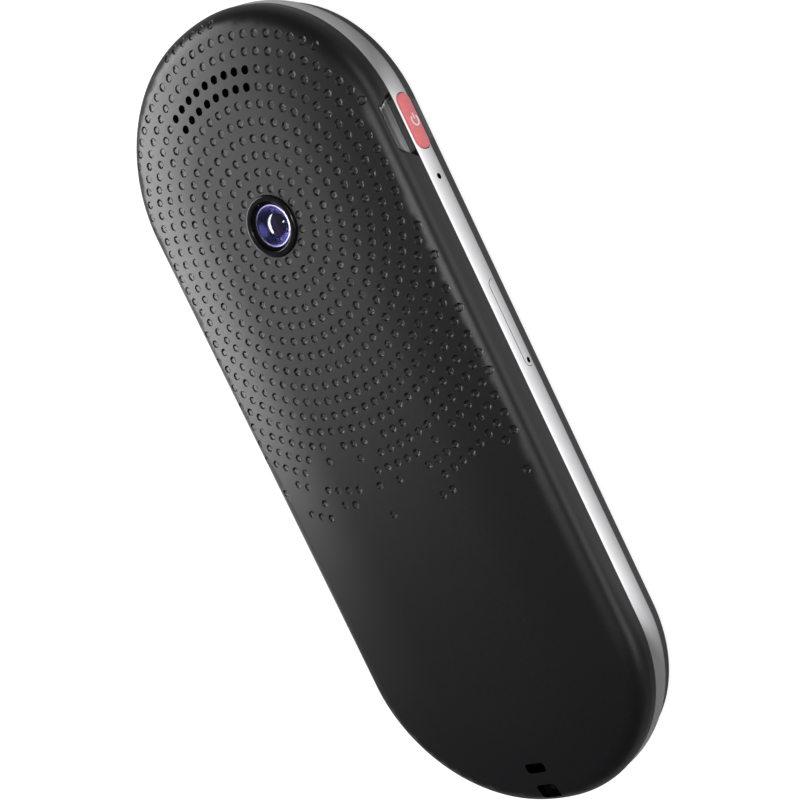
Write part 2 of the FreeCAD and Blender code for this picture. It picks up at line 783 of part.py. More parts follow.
def make_power_button():
    back = BAND_INNER_X - STOP_GAP
    front = HALF_WIDTH + BEYOND
    cap = side_plate(BUTTON_Y, BUTTON_Z, BUTTON_LENGTH, BUTTON_WIDTH, BUTTON_CORNER, back, front)
    cap = cap.common(band_skin(BUTTON_PROUD))
    rim = [edge for edge in cap.Edges if edge.BoundBox.XMin > HALF_WIDTH - BEYOND]
    cap = cap.makeChamfer(BUTTON_EDGE, rim)
    lug = side_plate(
        BUTTON_Y, BUTTON_Z, BUTTON_LENGTH + 2 * BUTTON_LUG, BUTTON_WIDTH - 2 * BUTTON_EDGE, 0,
        back - BUTTON_LUG_DEPTH, back
    )
    stem = side_pin(BUTTON_Y, BUTTON_Z, button_stem_end(), back - BUTTON_LUG_DEPTH, BUTTON_STEM_RADIUS)
    return fused([cap, lug, stem])


def make_volume_rocker():
    back = BAND_INNER_X - STOP_GAP
    cap = oblong(
        Vector(back, ROCKER_Y, ROCKER_Z), ALONG, ROCKER_LENGTH, ROCKER_WIDTH,
        ACROSS * (HALF_WIDTH + BEYOND - back)
    )
    cap = cap.common(band_skin(ROCKER_PROUD))
    axle_x = back + ROCKER_AXLE_SINK - ROCKER_AXLE_RADIUS
    low_z = ROCKER_Z - ROCKER_AXLE_LENGTH / 2
    axle = Part.makeCylinder(ROCKER_AXLE_RADIUS, ROCKER_AXLE_LENGTH, Vector(axle_x, ROCKER_Y, low_z))
    pegs = []
    for sign in (1, -1):
        y = ROCKER_Y + sign * ROCKER_PEG_SPACING / 2
        pegs.append(side_pin(y, ROCKER_Z, rocker_peg_end(), back, ROCKER_PEG_RADIUS))
    return mirrored(fused([cap, axle] + pegs), ACROSS)


def make_side_switches(centre_ys, centre_z, tab):
    """Switches on a strip of flexible board, glued to the outer face of a chassis tab."""
    centre_y, length, side, back = tab
    strip = side_plate(centre_y, centre_z, length, SWITCH_HEIGHT, 0, back, back + FLEX_DEPTH)
    pieces = [strip]
    for y in centre_ys:
        low = back + FLEX_DEPTH
        pieces.append(side_plate(y, centre_z, SWITCH_LENGTH, SWITCH_HEIGHT, 0, low, low + SWITCH_DEPTH))
    shape = fused(pieces)
    return shape if side > 0 else mirrored(shape, ACROSS)


def tray_body_y():
    """Y of the tray's body, set off from its head to leave a way for the eject pin."""
    return TRAY_Y + TRAY_BODY_SHIFT


def make_card_tray(band_blank):
    head = oblong(
        Vector(BAND_INNER_X, TRAY_Y, TRAY_Z), ALONG, TRAY_HEAD_LENGTH, TRAY_HEAD_WIDTH,
        ACROSS * BAND_WALL * 2
    )
    head = head.common(band_blank)
    hole_y = TRAY_Y - TRAY_HEAD_LENGTH / 2 + PIN_HOLE_INSET
    head = head.cut(side_pin(hole_y, TRAY_Z, BAND_INNER_X, HALF_WIDTH, PIN_HOLE_RADIUS))
    low_x = BAND_INNER_X - TRAY_BODY_LENGTH
    floor = TRAY_Z
    body = rounded_plate(
        (low_x + BAND_INNER_X + TRAY_ROOT) / 2, tray_body_y(), TRAY_BODY_LENGTH + TRAY_ROOT,
        TRAY_BODY_WIDTH, 0, floor, floor + TRAY_BODY_DEPTH
    )
    card_x = low_x + TRAY_RIM + CARD_LENGTH / 2
    pocket = rounded_plate(
        card_x, tray_body_y(), CARD_LENGTH, CARD_WIDTH, CARD_CORNER,
        floor + CARD_LEDGE_DEPTH, floor + TRAY_BODY_DEPTH
    )
    window = rounded_plate(
        card_x, tray_body_y(), CARD_LENGTH - 2 * CARD_LEDGE, CARD_WIDTH - 2 * CARD_LEDGE,
        CARD_CORNER, floor, floor + TRAY_BODY_DEPTH
    )
    return fused([head, body.cut(pocket).cut(window)])


def make_card_socket():
    """A pressed shell and its base on the main board, open towards the tray."""
    inner_low = TRAY_Z - SOCKET_GAP
    inner_high = TRAY_Z + TRAY_BODY_DEPTH + SOCKET_GAP
    width = TRAY_BODY_WIDTH + 2 * SOCKET_GAP
    outer_x = BAND_INNER_X - SOCKET_SETBACK
    inner_x = BAND_INNER_X - TRAY_BODY_LENGTH - SOCKET_GAP
    back_x = inner_x - SOCKET_WALL
    shell = rounded_plate(
        (outer_x + back_x) / 2, tray_body_y(), outer_x - back_x,
        width + 2 * SOCKET_WALL, 0, BOARD_BACK, inner_high + SOCKET_WALL
    )
    room = rounded_plate(
        (outer_x + inner_x) / 2, tray_body_y(), outer_x - inner_x, width, 0, inner_low, inner_high
    )
    return shell.cut(room)


def make_camera_bezel():
    low = BODY_DEPTH - CAMERA_SEAT_DEPTH
    high = BODY_DEPTH + CAMERA_STAND
    ring = pin(0, CAMERA_Y, low, high, CAMERA_RADIUS)
    rim = [edge for edge in ring.Edges if edge.BoundBox.ZMin > high - TINY]
    ring = ring.makeChamfer(BEZEL_CHAMFER, rim)
    seat = high - WINDOW_SINK - WINDOW_DEPTH
    ring = ring.cut(pin(0, CAMERA_Y, seat, high, BEZEL_LIP_RADIUS))
    return ring.cut(pin(0, CAMERA_Y, low, high, BEZEL_THROAT_RADIUS))


def make_camera_window():
    seat = BODY_DEPTH + CAMERA_STAND - WINDOW_SINK - WINDOW_DEPTH
    return pin(0, CAMERA_Y, seat, seat + WINDOW_DEPTH, BEZEL_LIP_RADIUS - WINDOW_GAP)


def camera_body_top():
    return BODY_DEPTH - CAMERA_SEAT_DEPTH - BARREL_DEPTH + LENS_RIM_DEPTH


def make_lens_barrel():
    """The black cone around the front element."""
    low = camera_body_top()
    high = low + BARREL_DEPTH
    wall = Part.makeCylinder(BARREL_RADIUS, BARREL_DEPTH, Vector(0, CAMERA_Y, low))
    funnel = Part.makeCone(
        LENS_RADIUS - WINDOW_GAP * 2, BARREL_MOUTH_RADIUS, BARREL_DEPTH - LENS_RIM_DEPTH,
        Vector(0, CAMERA_Y, low + LENS_RIM_DEPTH)
    )
    seat = pin(0, CAMERA_Y, low, low + LENS_RIM_DEPTH, LENS_RADIUS)
    return wall.cut(funnel).cut(seat)


def make_camera_lens():
    """The front element, a domed disc in the barrel's seat."""
    low = camera_body_top()
    rim = pin(0, CAMERA_Y, low, low + LENS_RIM_DEPTH, LENS_RADIUS)
    inner = LENS_RADIUS - 4 * WINDOW_GAP
    radius = (inner ** 2 + LENS_BULGE ** 2) / (2 * LENS_BULGE)
    top = low + LENS_RIM_DEPTH
    ball = Part.makeSphere(radius, Vector(0, CAMERA_Y, top + LENS_BULGE - radius))
    cap = ball.common(pin(0, CAMERA_Y, top, top + LENS_BULGE, radius))
    return fused([rim, cap])


def make_camera_module():
    top = camera_body_top()
    side = CAMERA_BODY_SIDE
    low = top - CAMERA_BODY_DEPTH
    return rounded_plate(0, CAMERA_Y, side, side, CAMERA_BODY_CORNER, low, top)


def make_camera_bracket():
    """A square frame that stands on the main board and carries the camera."""
    high = camera_body_top() - CAMERA_BODY_DEPTH
    side = CAMERA_BODY_SIDE
    room = side - 2 * BRACKET_WALL
    corner = CAMERA_BODY_CORNER
    frame = rounded_plate(0, CAMERA_Y, side, side, corner, BOARD_BACK, high)
    return frame.cut(rounded_plate(0, CAMERA_Y, room, room, corner, BOARD_BACK, high - BRACKET_WALL))


def speaker_centre_y():
    return CAMERA_Y + sum(SPEAKER_ARC_RADII) / 2 - SPEAKER_SHIFT


def make_speaker_module():
    low = SPEAKER_TOP - SPEAKER_DEPTH
    y = speaker_centre_y()
    return rounded_plate(0, y, SPEAKER_LENGTH, SPEAKER_WIDTH, SPEAKER_CORNER, low, SPEAKER_TOP)


def make_speaker_bracket():
    """Two feet that hold the speaker above the main board."""
    low = SPEAKER_TOP - SPEAKER_DEPTH
    y = speaker_centre_y()
    feet = []
    for sign in (1, -1):
        x = sign * (SPEAKER_LENGTH / 2 - 2 * SPEAKER_CORNER)
        feet.append(rounded_plate(x, y, SPEAKER_CORNER, SPEAKER_WIDTH / 2, 0, BOARD_BACK, low))
    return Part.makeCompound(feet)


def mesh_area(grow, low, high):
    y = speaker_centre_y()
    length = SPEAKER_LENGTH - 2 * SPEAKER_CORNER + 2 * grow
    width = SPEAKER_WIDTH - SPEAKER_CORNER + 2 * grow
    return rounded_plate(0, y, length, width, SPEAKER_CORNER / 2, low, high)


def make_speaker_mesh(inner, under_mesh):
    return inner.common(mesh_area(0, SPEAKER_TOP, BODY_DEPTH)).cut(under_mesh)


def make_speaker_gasket(under_mesh):
    """A foam frame between the speaker and its mesh."""
    frame = mesh_area(0, SPEAKER_TOP, BODY_DEPTH)
    frame = frame.cut(mesh_area(-GASKET_WALL, SPEAKER_TOP, BODY_DEPTH))
    return frame.common(under_mesh)


def battery_low():
    return PLATE_BACK + KEY_BOARD_DEPTH + TRAY_FLOOR


def make_battery():
    low = battery_low()
    return rounded_plate(
        0, BATTERY_CENTRE_Y, BATTERY_WIDTH, BATTERY_LENGTH, BATTERY_CORNER, low, low + BATTERY_DEPTH
    )


def make_battery_tray():
    width = BATTERY_WIDTH + 2 * BATTERY_GAP
    length = BATTERY_LENGTH + 2 * BATTERY_GAP
    low = battery_low() - TRAY_FLOOR
    box = rounded_plate(
        0, BATTERY_CENTRE_Y, width + 2 * TRAY_WALL, length + 2 * TRAY_WALL,
        BATTERY_CORNER + TRAY_WALL, low, battery_low() + TRAY_WALL_HEIGHT
    )
    room = rounded_plate(
        0, BATTERY_CENTRE_Y, width, length, BATTERY_CORNER,
        battery_low(), battery_low() + TRAY_WALL_HEIGHT
    )
    return box.cut(room)


def make_battery_foam(inner):
    low = battery_low() + BATTERY_DEPTH
    pad = rounded_plate(
        0, BATTERY_CENTRE_Y, FOAM_WIDTH, FOAM_LENGTH, BATTERY_CORNER, low, BODY_DEPTH
    )
    return pad.common(inner)


def make_key_board():
    low_y, high_y = key_board_span()
    width = KEY_LENGTH + 2 * KEY_BOARD_MARGIN
    return rounded_plate(
        0, (low_y + high_y) / 2, width, high_y - low_y, KEY_BOARD_MARGIN / 2,
        PLATE_BACK, PLATE_BACK + KEY_BOARD_DEPTH
    )


def make_main_board():
    board = plate(BOARD_INSET, BOARD_FRONT, BOARD_BACK)
    top = Part.makeBox(
        BODY_WIDTH, HALF_LENGTH - BOARD_LOW_Y, BODY_DEPTH, Vector(-HALF_WIDTH, BOARD_LOW_Y, 0)
    )
    board = board.common(top)
    cuts = [pin(x, y, 0, BODY_DEPTH, BOSS_RADIUS + BOSS_GAP) for x, y in boss_places()]
    cuts += [pin(x, y, 0, BODY_DEPTH, SCREW_RADIUS + SCREW_GAP) for x, y in board_screw_places()]
    for centre_y, length, side, back in switch_tabs():
        inner = side * (back - TAB_DEPTH - BOSS_GAP)
        outer = side * HALF_WIDTH
        low, high = sorted((inner, outer))
        cuts.append(
            Part.makeBox(
                high - low, length + 2 * BOSS_GAP, BODY_DEPTH,
                Vector(low, centre_y - length / 2 - BOSS_GAP, 0)
            )
        )
    return board.cut(Part.makeCompound(cuts))


def make_can(size, centre):
    return rounded_plate(
        centre[0], centre[1], size[0], size[1], CAN_CORNER, BOARD_BACK, BOARD_BACK + CAN_DEPTH
    )


def make_cover_screws():
    screws = []
    for x, y in boss_places():
        shank = pin(x, y, DISPLAY_BACK, DISPLAY_BACK + SCREW_LENGTH, SCREW_RADIUS)
        head = pin(x, y, DISPLAY_BACK - SCREW_HEAD_DEPTH, DISPLAY_BACK, SCREW_HEAD_RADIUS)
        screws.append(fused([shank, head]))
    return Part.makeCompound(screws)


def make_board_screws():
    screws = []
    for x, y in board_screw_places():
        shank = pin(x, y, BOARD_FRONT, BOARD_BACK, SCREW_RADIUS)
        head = pin(x, y, BOARD_BACK, BOARD_BACK + SCREW_HEAD_DEPTH, SCREW_HEAD_RADIUS)
        screws.append(fused([shank, head]))
    return Part.makeCompound(screws)


def port_low_y():
    return -HALF_LENGTH + PORT_SETBACK


def make_port_shell():
    shell = port_tube(0, PORT_DEPTH, port_low_y())
    return shell.cut(port_tube(-PORT_WALL, PORT_DEPTH - PORT_BACK, port_low_y()))


def make_port_tongue():
    length = PORT_DEPTH - PORT_BACK - TONGUE_SETBACK
    return Part.makeBox(
        TONGUE_WIDTH, length, TONGUE_DEPTH,
        Vector(-TONGUE_WIDTH / 2, port_low_y() + TONGUE_SETBACK, PORT_Z - TONGUE_DEPTH / 2)
    )


def make_port_board():
    """The board that carries the port, notched so that the shell sinks into it."""
    board = rounded_plate(
        0, PORT_BOARD_LOW_Y + PORT_BOARD_LENGTH / 2, PORT_BOARD_WIDTH, PORT_BOARD_LENGTH,
        STANDOFF_RADIUS, PLATE_BACK, PLATE_BACK + PORT_BOARD_DEPTH
    )
    notch_low = PORT_BOARD_LOW_Y
    notch_high = port_low_y() + PORT_DEPTH
    notch = rounded_plate(
        0, (notch_low + notch_high) / 2, PORT_WIDTH, notch_high - notch_low, 0,
        PLATE_BACK, PLATE_BACK + PORT_BOARD_DEPTH
    )
    return board.cut(notch)


def make_side_microphone():
    length, width, depth = MIC_SIZE
    x = HALF_WIDTH - BOARD_INSET - width / 2
    return rounded_plate(x, MIC_Y, width, length, 0, BOARD_BACK, BOARD_BACK + depth)


def make_side_microphone_boot():
    """A rubber sleeve that leads sound from the band's hole to the microphone."""
    low_x = HALF_WIDTH - BOARD_INSET - MIC_SIZE[1]
    low_z = BOARD_BACK + MIC_SIZE[2]
    high_z = MIC_Z + MIC_BOOT_SIDE / 2
    body = Part.makeBox(
        BAND_INNER_X - low_x, MIC_BOOT_SIDE, high_z - low_z,
        Vector(low_x, MIC_Y - MIC_BOOT_SIDE / 2, low_z)
    )
    middle = low_x + MIC_SIZE[1] / 2
    bore = side_pin(MIC_Y, MIC_Z, middle, HALF_WIDTH, MIC_BORE_RADIUS)
    return body.cut(bore).cut(pin(middle, MIC_Y, low_z, MIC_Z, MIC_BORE_RADIUS))


def make_low_microphone():
    length, width, depth = MIC_SIZE
    low_z = PLATE_BACK + PORT_BOARD_DEPTH
    return rounded_plate(
        LOW_MIC_X, PORT_BOARD_LOW_Y + width / 2, length, width, 0, low_z, low_z + depth
    )



def make_display():
    return rounded_plate(
        0, DISPLAY_CENTRE_Y, DISPLAY_WIDTH, DISPLAY_LENGTH, DISPLAY_CORNER, GLASS_DEPTH, DISPLAY_BACK
    )


def main():
    os.makedirs("parts", exist_ok=True)
    outer = dome(0, COVER_OUTER_STEPS)
    inner = dome(COVER_WALL, COVER_INNER_STEPS)
    under_mesh = dome(COVER_WALL + MESH_DEPTH, COVER_INNER_STEPS)
    band_blank = make_band_blank()
    tabs = switch_tabs()
    half_spacing = ROCKER_PEG_SPACING / 2
    rocker_ys = (ROCKER_Y - half_spacing, ROCKER_Y + half_spacing)
    parts = {
        "rear_cover": make_rear_cover(outer, inner),
        "side_frame": make_side_frame(band_blank),
        "front_bezel": make_front_bezel(),
        "front_glass": make_front_glass(),
        "display_module": make_display(),
        "chassis_plate": make_chassis(),
        "camera_bezel": make_camera_bezel(),
        "camera_window": make_camera_window(),
        "lens_barrel": make_lens_barrel(),
        "camera_lens": make_camera_lens(),
        "camera_module": make_camera_module(),
        "camera_bracket": make_camera_bracket(),
        "speaker_module": make_speaker_module(),
        "speaker_feet": make_speaker_bracket(),
        "speaker_mesh": make_speaker_mesh(inner, under_mesh),
        "speaker_gasket": make_speaker_gasket(under_mesh),
        "battery": make_battery(),
        "battery_tray": make_battery_tray(),
        "battery_foam": make_battery_foam(inner),
        "key_board": make_key_board(),
        "key_switches": make_key_switches(),
        "main_board": make_main_board(),
        "shield_can_large": make_can(CAN_LARGE_SIZE, CAN_LARGE_CENTRE),
        "shield_can_small": make_can(CAN_SMALL_SIZE, CAN_SMALL_CENTRE),
        "card_socket": make_card_socket(),
        "card_tray": make_card_tray(band_blank),
        "power_button": make_power_button(),
        "power_switch": make_side_switches([BUTTON_Y], BUTTON_Z, tabs[0]),
        "volume_rocker": make_volume_rocker(),
        "volume_switches": make_side_switches(rocker_ys, ROCKER_Z, tabs[1]),
        "cover_screws": make_cover_screws(),
        "board_screws": make_board_screws(),
        "port_shell": make_port_shell(),
        "port_tongue": make_port_tongue(),
        "port_board": make_port_board(),
        "side_microphone": make_side_microphone(),
        "side_microphone_boot": make_side_microphone_boot(),
        "low_microphone": make_low_microphone(),
    }
    for name, y in zip(KEY_NAMES, KEY_YS):
        parts[name] = make_talk_key(y)
    for name, shape in parts.items():
        save(name, shape)


main()
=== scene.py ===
"""Looks of the handheld translator, lying on its front glass.

Lengths of the object are in millimetres, and each mesh is scaled to metres as it is made.
The stage, the lamps and the grain of the materials are in metres.
"""

import json
import math
import random

import bpy
from mathutils import Matrix, Vector
from mathutils.geometry import delaunay_2d_cdt


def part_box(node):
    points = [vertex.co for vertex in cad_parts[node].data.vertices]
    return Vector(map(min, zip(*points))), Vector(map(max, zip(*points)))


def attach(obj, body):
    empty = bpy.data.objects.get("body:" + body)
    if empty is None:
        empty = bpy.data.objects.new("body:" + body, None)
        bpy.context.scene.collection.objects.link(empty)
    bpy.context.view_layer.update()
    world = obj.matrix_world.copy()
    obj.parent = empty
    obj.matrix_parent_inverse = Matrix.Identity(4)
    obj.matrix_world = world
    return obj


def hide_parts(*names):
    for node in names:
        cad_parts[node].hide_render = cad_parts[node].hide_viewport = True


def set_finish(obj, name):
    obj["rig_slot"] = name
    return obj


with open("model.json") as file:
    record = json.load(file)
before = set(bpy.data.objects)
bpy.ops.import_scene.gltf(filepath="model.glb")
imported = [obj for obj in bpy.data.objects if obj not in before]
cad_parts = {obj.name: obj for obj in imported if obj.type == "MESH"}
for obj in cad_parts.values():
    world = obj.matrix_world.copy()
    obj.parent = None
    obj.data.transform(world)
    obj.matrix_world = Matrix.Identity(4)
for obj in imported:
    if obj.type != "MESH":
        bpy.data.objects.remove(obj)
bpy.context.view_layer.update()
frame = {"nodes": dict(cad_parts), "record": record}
nodes = frame["nodes"]

MM = 0.001
BEYOND = 1.0


def node_box(name):
    """A node's lowest and highest corners, in millimetres."""
    low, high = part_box(name)
    return low / MM, high / MM


BAND_LOW, BAND_HIGH = node_box("side_frame")
COVER_HIGH = node_box("rear_cover")[1]
HALF_WIDTH = BAND_HIGH.x
HALF_LENGTH = BAND_HIGH.y
RIM_TOP = BAND_LOW.z
BAND_TOP = BAND_HIGH.z
BODY_DEPTH = COVER_HIGH.z
EDGE_ROUND = 0.08

# The body's outline: two shoulder arcs and one end arc at each end
SHOULDER_RADIUS = 24.75
END_RADIUS = 33.75
SHOULDER_X = HALF_WIDTH - SHOULDER_RADIUS
SHOULDER_ANGLE = math.acos(SHOULDER_X / (END_RADIUS - SHOULDER_RADIUS))
END_Y = HALF_LENGTH - END_RADIUS
SHOULDER_Y = END_Y + (END_RADIUS - SHOULDER_RADIUS) * math.sin(SHOULDER_ANGLE)

# Rear cover: an upright side, a round corner, a crown, and a flat along the middle
COVER_INSET = HALF_WIDTH - COVER_HIGH.x
CORNER_RADIUS = 3.0
CROWN_RADIUS = 92.0
FLAT_HALF = 10.0
COVER_WALL = 1.2
CORNER_X = HALF_WIDTH - COVER_INSET - CORNER_RADIUS
CROWN_RISE = math.sqrt((CROWN_RADIUS - CORNER_RADIUS) ** 2 - (CORNER_X - FLAT_HALF) ** 2)
CORNER_Z = BODY_DEPTH - CROWN_RADIUS + CROWN_RISE
CORNER_END = math.acos((CORNER_X - FLAT_HALF) / (CROWN_RADIUS - CORNER_RADIUS))

# The cover's mesh: rings up to an inset, a net over the rest
COVER_SPACING = 0.35
COVER_SIDE_SHARES = (0.35, 0.65, 1.0)
CORNER_STEPS = 9
NET_INSET = 1.2
NET_GRID = 1.7
NET_SHIFT = (0.05, 0.03)
NET_MARGIN = 0.4
NET_HOLE_ROOM = 0.3
NET_DIMPLE_ROOM = 0.15

# Dimples, on rings round the camera
DIMPLE_RADIUS = 0.66
DIMPLE_DEPTH = 0.14
DIMPLE_WALL = 0.22
DIMPLE_LEAN = 0.1
DIMPLE_SIDES = 14
DIMPLE_WALL_SHARES = (0.15, 0.85, 1.0)
DIMPLE_FLOOR_SHARE = 0.4
DIMPLE_FIRST_RING = 5.62
DIMPLE_PITCH = 2.42
DIMPLE_SPACING = 2.08
DIMPLE_FULL_Y = 1.0
DIMPLE_LAST_Y = -15.0
DIMPLE_INSET = 1.95
DIMPLE_HOLE_ROOM = 0.1
DIMPLE_SEED = 7

# Openings in the cover
SPEAKER_RADII = (22.5, 20.1)
SPEAKER_COUNTS = (9, 8)
SPEAKER_PITCH = 2.06
SPEAKER_HOLE = 0.65
SPEAKER_SIDES = 20
CAMERA_GAP = 0.1
CAMERA_SIDES = 72
MOUTH_Y = -57.8
MOUTH_LENGTH = 1.7
MOUTH_WIDTH = 3.5
MOUTH_CORNER = 0.55
MOUTH_BAR = 2.2
EXIT_LENGTH = 2.6
EXIT_Y = MOUTH_Y - MOUTH_LENGTH / 2 - MOUTH_BAR - EXIT_LENGTH / 2
TUNNEL_FLOOR = 8.0
TUNNEL_CEILING = 9.6

# Metal band and front rim
BAND_FOOT_INSET = 0.45
BAND_BULGE_Z = 4.7
BAND_WALL = 2.0
BAND_STEPS = 16
BAND_SPACING = 1.0
RIM_INSET = 0.5
RIM_LIP = 1.9
RIM_SEAT = 3.0
RIM_STRAIGHT = 1.2
RIM_NOSE = 0.25
RIM_SIDE_SHARES = (0.35, 0.7)
RIM_STEPS = 8
RIM_SPACING = 0.6
GLASS_DEPTH = 0.9

# Openings in the band, and what moves in them
BUTTON_LOW, BUTTON_HIGH = node_box("power_button")
ROCKER_LOW, ROCKER_HIGH = node_box("volume_rocker")
TRAY_LOW, TRAY_HIGH = node_box("card_tray")
BUTTON_Y = (BUTTON_LOW.y + BUTTON_HIGH.y) / 2
BUTTON_Z = (BUTTON_LOW.z + BUTTON_HIGH.z) / 2
BUTTON_LENGTH = 8.3
BUTTON_WIDTH = 3.1
BUTTON_CORNER = 1.3
BUTTON_GAP = 0.12
ROCKER_WIDTH = 2.4
ROCKER_GAP = 0.18
TRAY_GAP = 0.08
TRAY_PROUD = 0.03
TRAY_CORNER_SLACK = 0.01
PIN_HOLE_RADIUS = 0.45
PIN_HOLE_FROM_END = 0.87
MIC_RADIUS = 0.45
SIDE_MIC_Y = 28.5
SIDE_MIC_Z = 4.8
LOW_MIC_X = 9.4
LOW_MIC_Z = 4.3
PORT_WIDTH = 9.28
PORT_HEIGHT = 3.5
PORT_Z = 4.6
PORT_REACH = 5.0

# The thumb's hollow, in the cover above the button and in the rim below it
SCOOP_LENGTH = 9.8
SCOOP_TOP_LENGTH = 6.8
SCOOP_HEIGHT = 2.9
SCOOP_DEPTH = 1.0
RIM_SCOOP_HEIGHT = 1.2
RIM_SCOOP_DEPTH = 0.5
SCOOP_EDGE = 0.45
SIDE_FACING = 0.9

# Camera
BEZEL_LOW, BEZEL_HIGH = node_box("camera_bezel")
CAMERA_Y = (BEZEL_LOW.y + BEZEL_HIGH.y) / 2
BEZEL_RADIUS = (BEZEL_HIGH.x - BEZEL_LOW.x) / 2
BEZEL_ROUND = 0.18
LIP_ROUND = 0.12
LIP_SEAT = 0.4
WINDOW_GAP = 0.03
WINDOW_ROUND = 0.12
AXIS_RADIUS = 0.001
BARREL_MOUTH = 2.7
BARREL_STEPS = 5
BARREL_STEP = 0.06
BARREL_FOOT = 0.35
LENS_EDGE = 0.3
LENS_STEPS = 12
MASK_PROUD = 0.02
MASK_SECTION = ((0.02, -0.1), (0.07, 0.0), (0.24, 0.0), (0.3, -0.1))

# Power symbol on the button
SYMBOL_RADIUS = 0.78
SYMBOL_HALF_STROKE = 0.13
SYMBOL_OPENING = 0.75
SYMBOL_BAR = (0.15, 1.05)
SYMBOL_STEPS = 28
SYMBOL_SUNK = 0.06
SYMBOL_PROUD = 0.015

# The photograph's viewpoint: the body's tilt about X, Y and Z, and where the lens stands
VIEW_TILT = (0.071, -0.668, 0.447)
VIEW_SHIFT = (-0.525, -2.42)
VIEW_DISTANCE = 193.8
FOCAL_PIXELS = 1239.7
PICTURE_SIZE = 800
PICTURE_CENTRE = (415.45, 387.55)

# Stage: lengths in metres, and strengths of light
FLOOR_HALF = 0.7
FLOOR_DROP = 0.00005
FLOOR_GLOW = 0.85
# Reach of the floor's painted contact shadow, and where its painted glow in reflections is full and
# where it ends
PAINTED_SHADOW_REACH = 0.014
PAINTED_GLOW_FULL = 0.036
PAINTED_GLOW_END = 0.052
WORLD_SHOWN = 0.93
WORLD_LIGHT = 0.07


# Shapes


def lerp(a, b, share):
    return a + (b - a) * share


def smooth(share):
    share = min(1.0, max(0.0, share))
    return share * share * (3 - 2 * share)


def new_object(name, points, faces, body="housing"):
    """A smooth mesh from points in millimetres, riding on a body unless it is a tool."""
    mesh = bpy.data.meshes.new(name)
    mesh.from_pydata([Vector(p) * MM for p in points], [], faces)
    mesh.update()
    for polygon in mesh.polygons:
        polygon.use_smooth = True
    obj = bpy.data.objects.new(name, mesh)
    bpy.context.scene.collection.objects.link(obj)
    if body:
        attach(obj, body)
    return obj


def sharpen(obj, degrees):
    """Smooth shading that breaks at edges sharper than an angle."""
    obj.data.set_sharp_from_angle(angle=math.radians(degrees))


def outline_stations(spacing):
    """Points and outward directions round the outline, anticlockwise from the +X side."""
    steps = round(SHOULDER_Y / spacing)
    quarter = [(Vector((HALF_WIDTH, SHOULDER_Y * i / steps, 0)), 0.0) for i in range(steps)]
    # Centre, radius, first angle, last angle, and 1 where the arc's last point counts too
    arcs = (
        (Vector((SHOULDER_X, SHOULDER_Y, 0)), SHOULDER_RADIUS, 0.0, SHOULDER_ANGLE, 0),
        (Vector((0, END_Y, 0)), END_RADIUS, SHOULDER_ANGLE, math.pi / 2, 1),
    )
    for centre, radius, start, end, closing in arcs:
        steps = round(radius * (end - start) / spacing)
        for i in range(steps + closing):
            angle = lerp(start, end, i / steps)
            out = Vector((math.cos(angle), math.sin(angle), 0))
            quarter.append((centre + out * radius, angle))
    half = quarter + [(Vector((-p.x, p.y, 0)), math.pi - a) for p, a in reversed(quarter[:-1])]
    lower = [(Vector((p.x, -p.y, 0)), -a) for p, a in reversed(half[1:-1])]
    return [(p, Vector((math.cos(a), math.sin(a), 0))) for p, a in half + lower]


def ring_faces(rings, size, closed):
    """Quads between rings of points that follow each other round the outline or the axis."""
    faces = []
    for i in range(rings):
        a = i * size
        b = (i + 1) % rings * size
        for j in range(size if closed else size - 1):
            k = (j + 1) % size
            faces.append((a + j, b + j, b + k, a + k))
    return faces


def sweep(name, profile, stations, body="housing", move=None):
    """Carries a closed profile of (inset, z) points all round the outline."""
    points = []
    for place, out in stations:
        for inset, z in profile:
            p = place - out * inset + Vector((0, 0, z))
            points.append(move(p, out) if move else p)
    return new_object(name, points, ring_faces(len(stations), len(profile), True), body)


def outline_inset(x, y):
    """How far a point lies inside the outline."""
    x, y = abs(x), abs(y)
    if y <= SHOULDER_Y:
        return HALF_WIDTH - x
    if math.atan2(y - SHOULDER_Y, x - SHOULDER_X) < SHOULDER_ANGLE:
        return SHOULDER_RADIUS - math.hypot(x - SHOULDER_X, y - SHOULDER_Y)
    return END_RADIUS - math.hypot(x, y - END_Y)


def is_within(x, y, inset):
    """Whether a point lies deeper inside the outline than an inset."""
    return abs(x) <= HALF_WIDTH and abs(y) <= HALF_LENGTH and outline_inset(x, y) >= inset


def circle(x, y, radius, count):
    turns = [math.tau * i / count for i in range(count)]
    return [Vector((x + radius * math.cos(t), y + radius * math.sin(t))) for t in turns]


def rounded_box(x, y, width, length, corner, steps=4):
    """The outline of a rectangle with rounded corners, seen from above."""
    points = []
    for quarter, (sx, sy) in enumerate(((1, 1), (-1, 1), (-1, -1), (1, -1))):
        centre = Vector((x + sx * (width / 2 - corner), y + sy * (length / 2 - corner)))
        for i in range(steps + 1):
            angle = math.pi / 2 * (quarter + i / steps)
            points.append(centre + Vector((math.cos(angle), math.sin(angle))) * corner)
    return points


# The thumb's hollow


def scoop_depth(y, height, reach, deepest):
    """How deep the hollow is, at a place along the side and a height from the seam."""
    if height > reach:
        return 0.0
    share = height / reach
    half = lerp(SCOOP_LENGTH, SCOOP_TOP_LENGTH, share) / 2
    edge = (half - abs(y - BUTTON_Y)) / SCOOP_EDGE
    return deepest * math.sqrt(1 - share ** 2) * smooth(edge)


def dent_side(p, out):
    """Presses the hollow into a point of the cover or the rim, on the button's side."""
    if out.x < SIDE_FACING:
        return p
    if p.z >= BAND_TOP:
        return p - out * scoop_depth(p.y, p.z - BAND_TOP, SCOOP_HEIGHT, SCOOP_DEPTH)
    if p.z <= RIM_TOP:
        return p - out * scoop_depth(p.y, RIM_TOP - p.z, RIM_SCOOP_HEIGHT, RIM_SCOOP_DEPTH)
    return p


# Rear cover


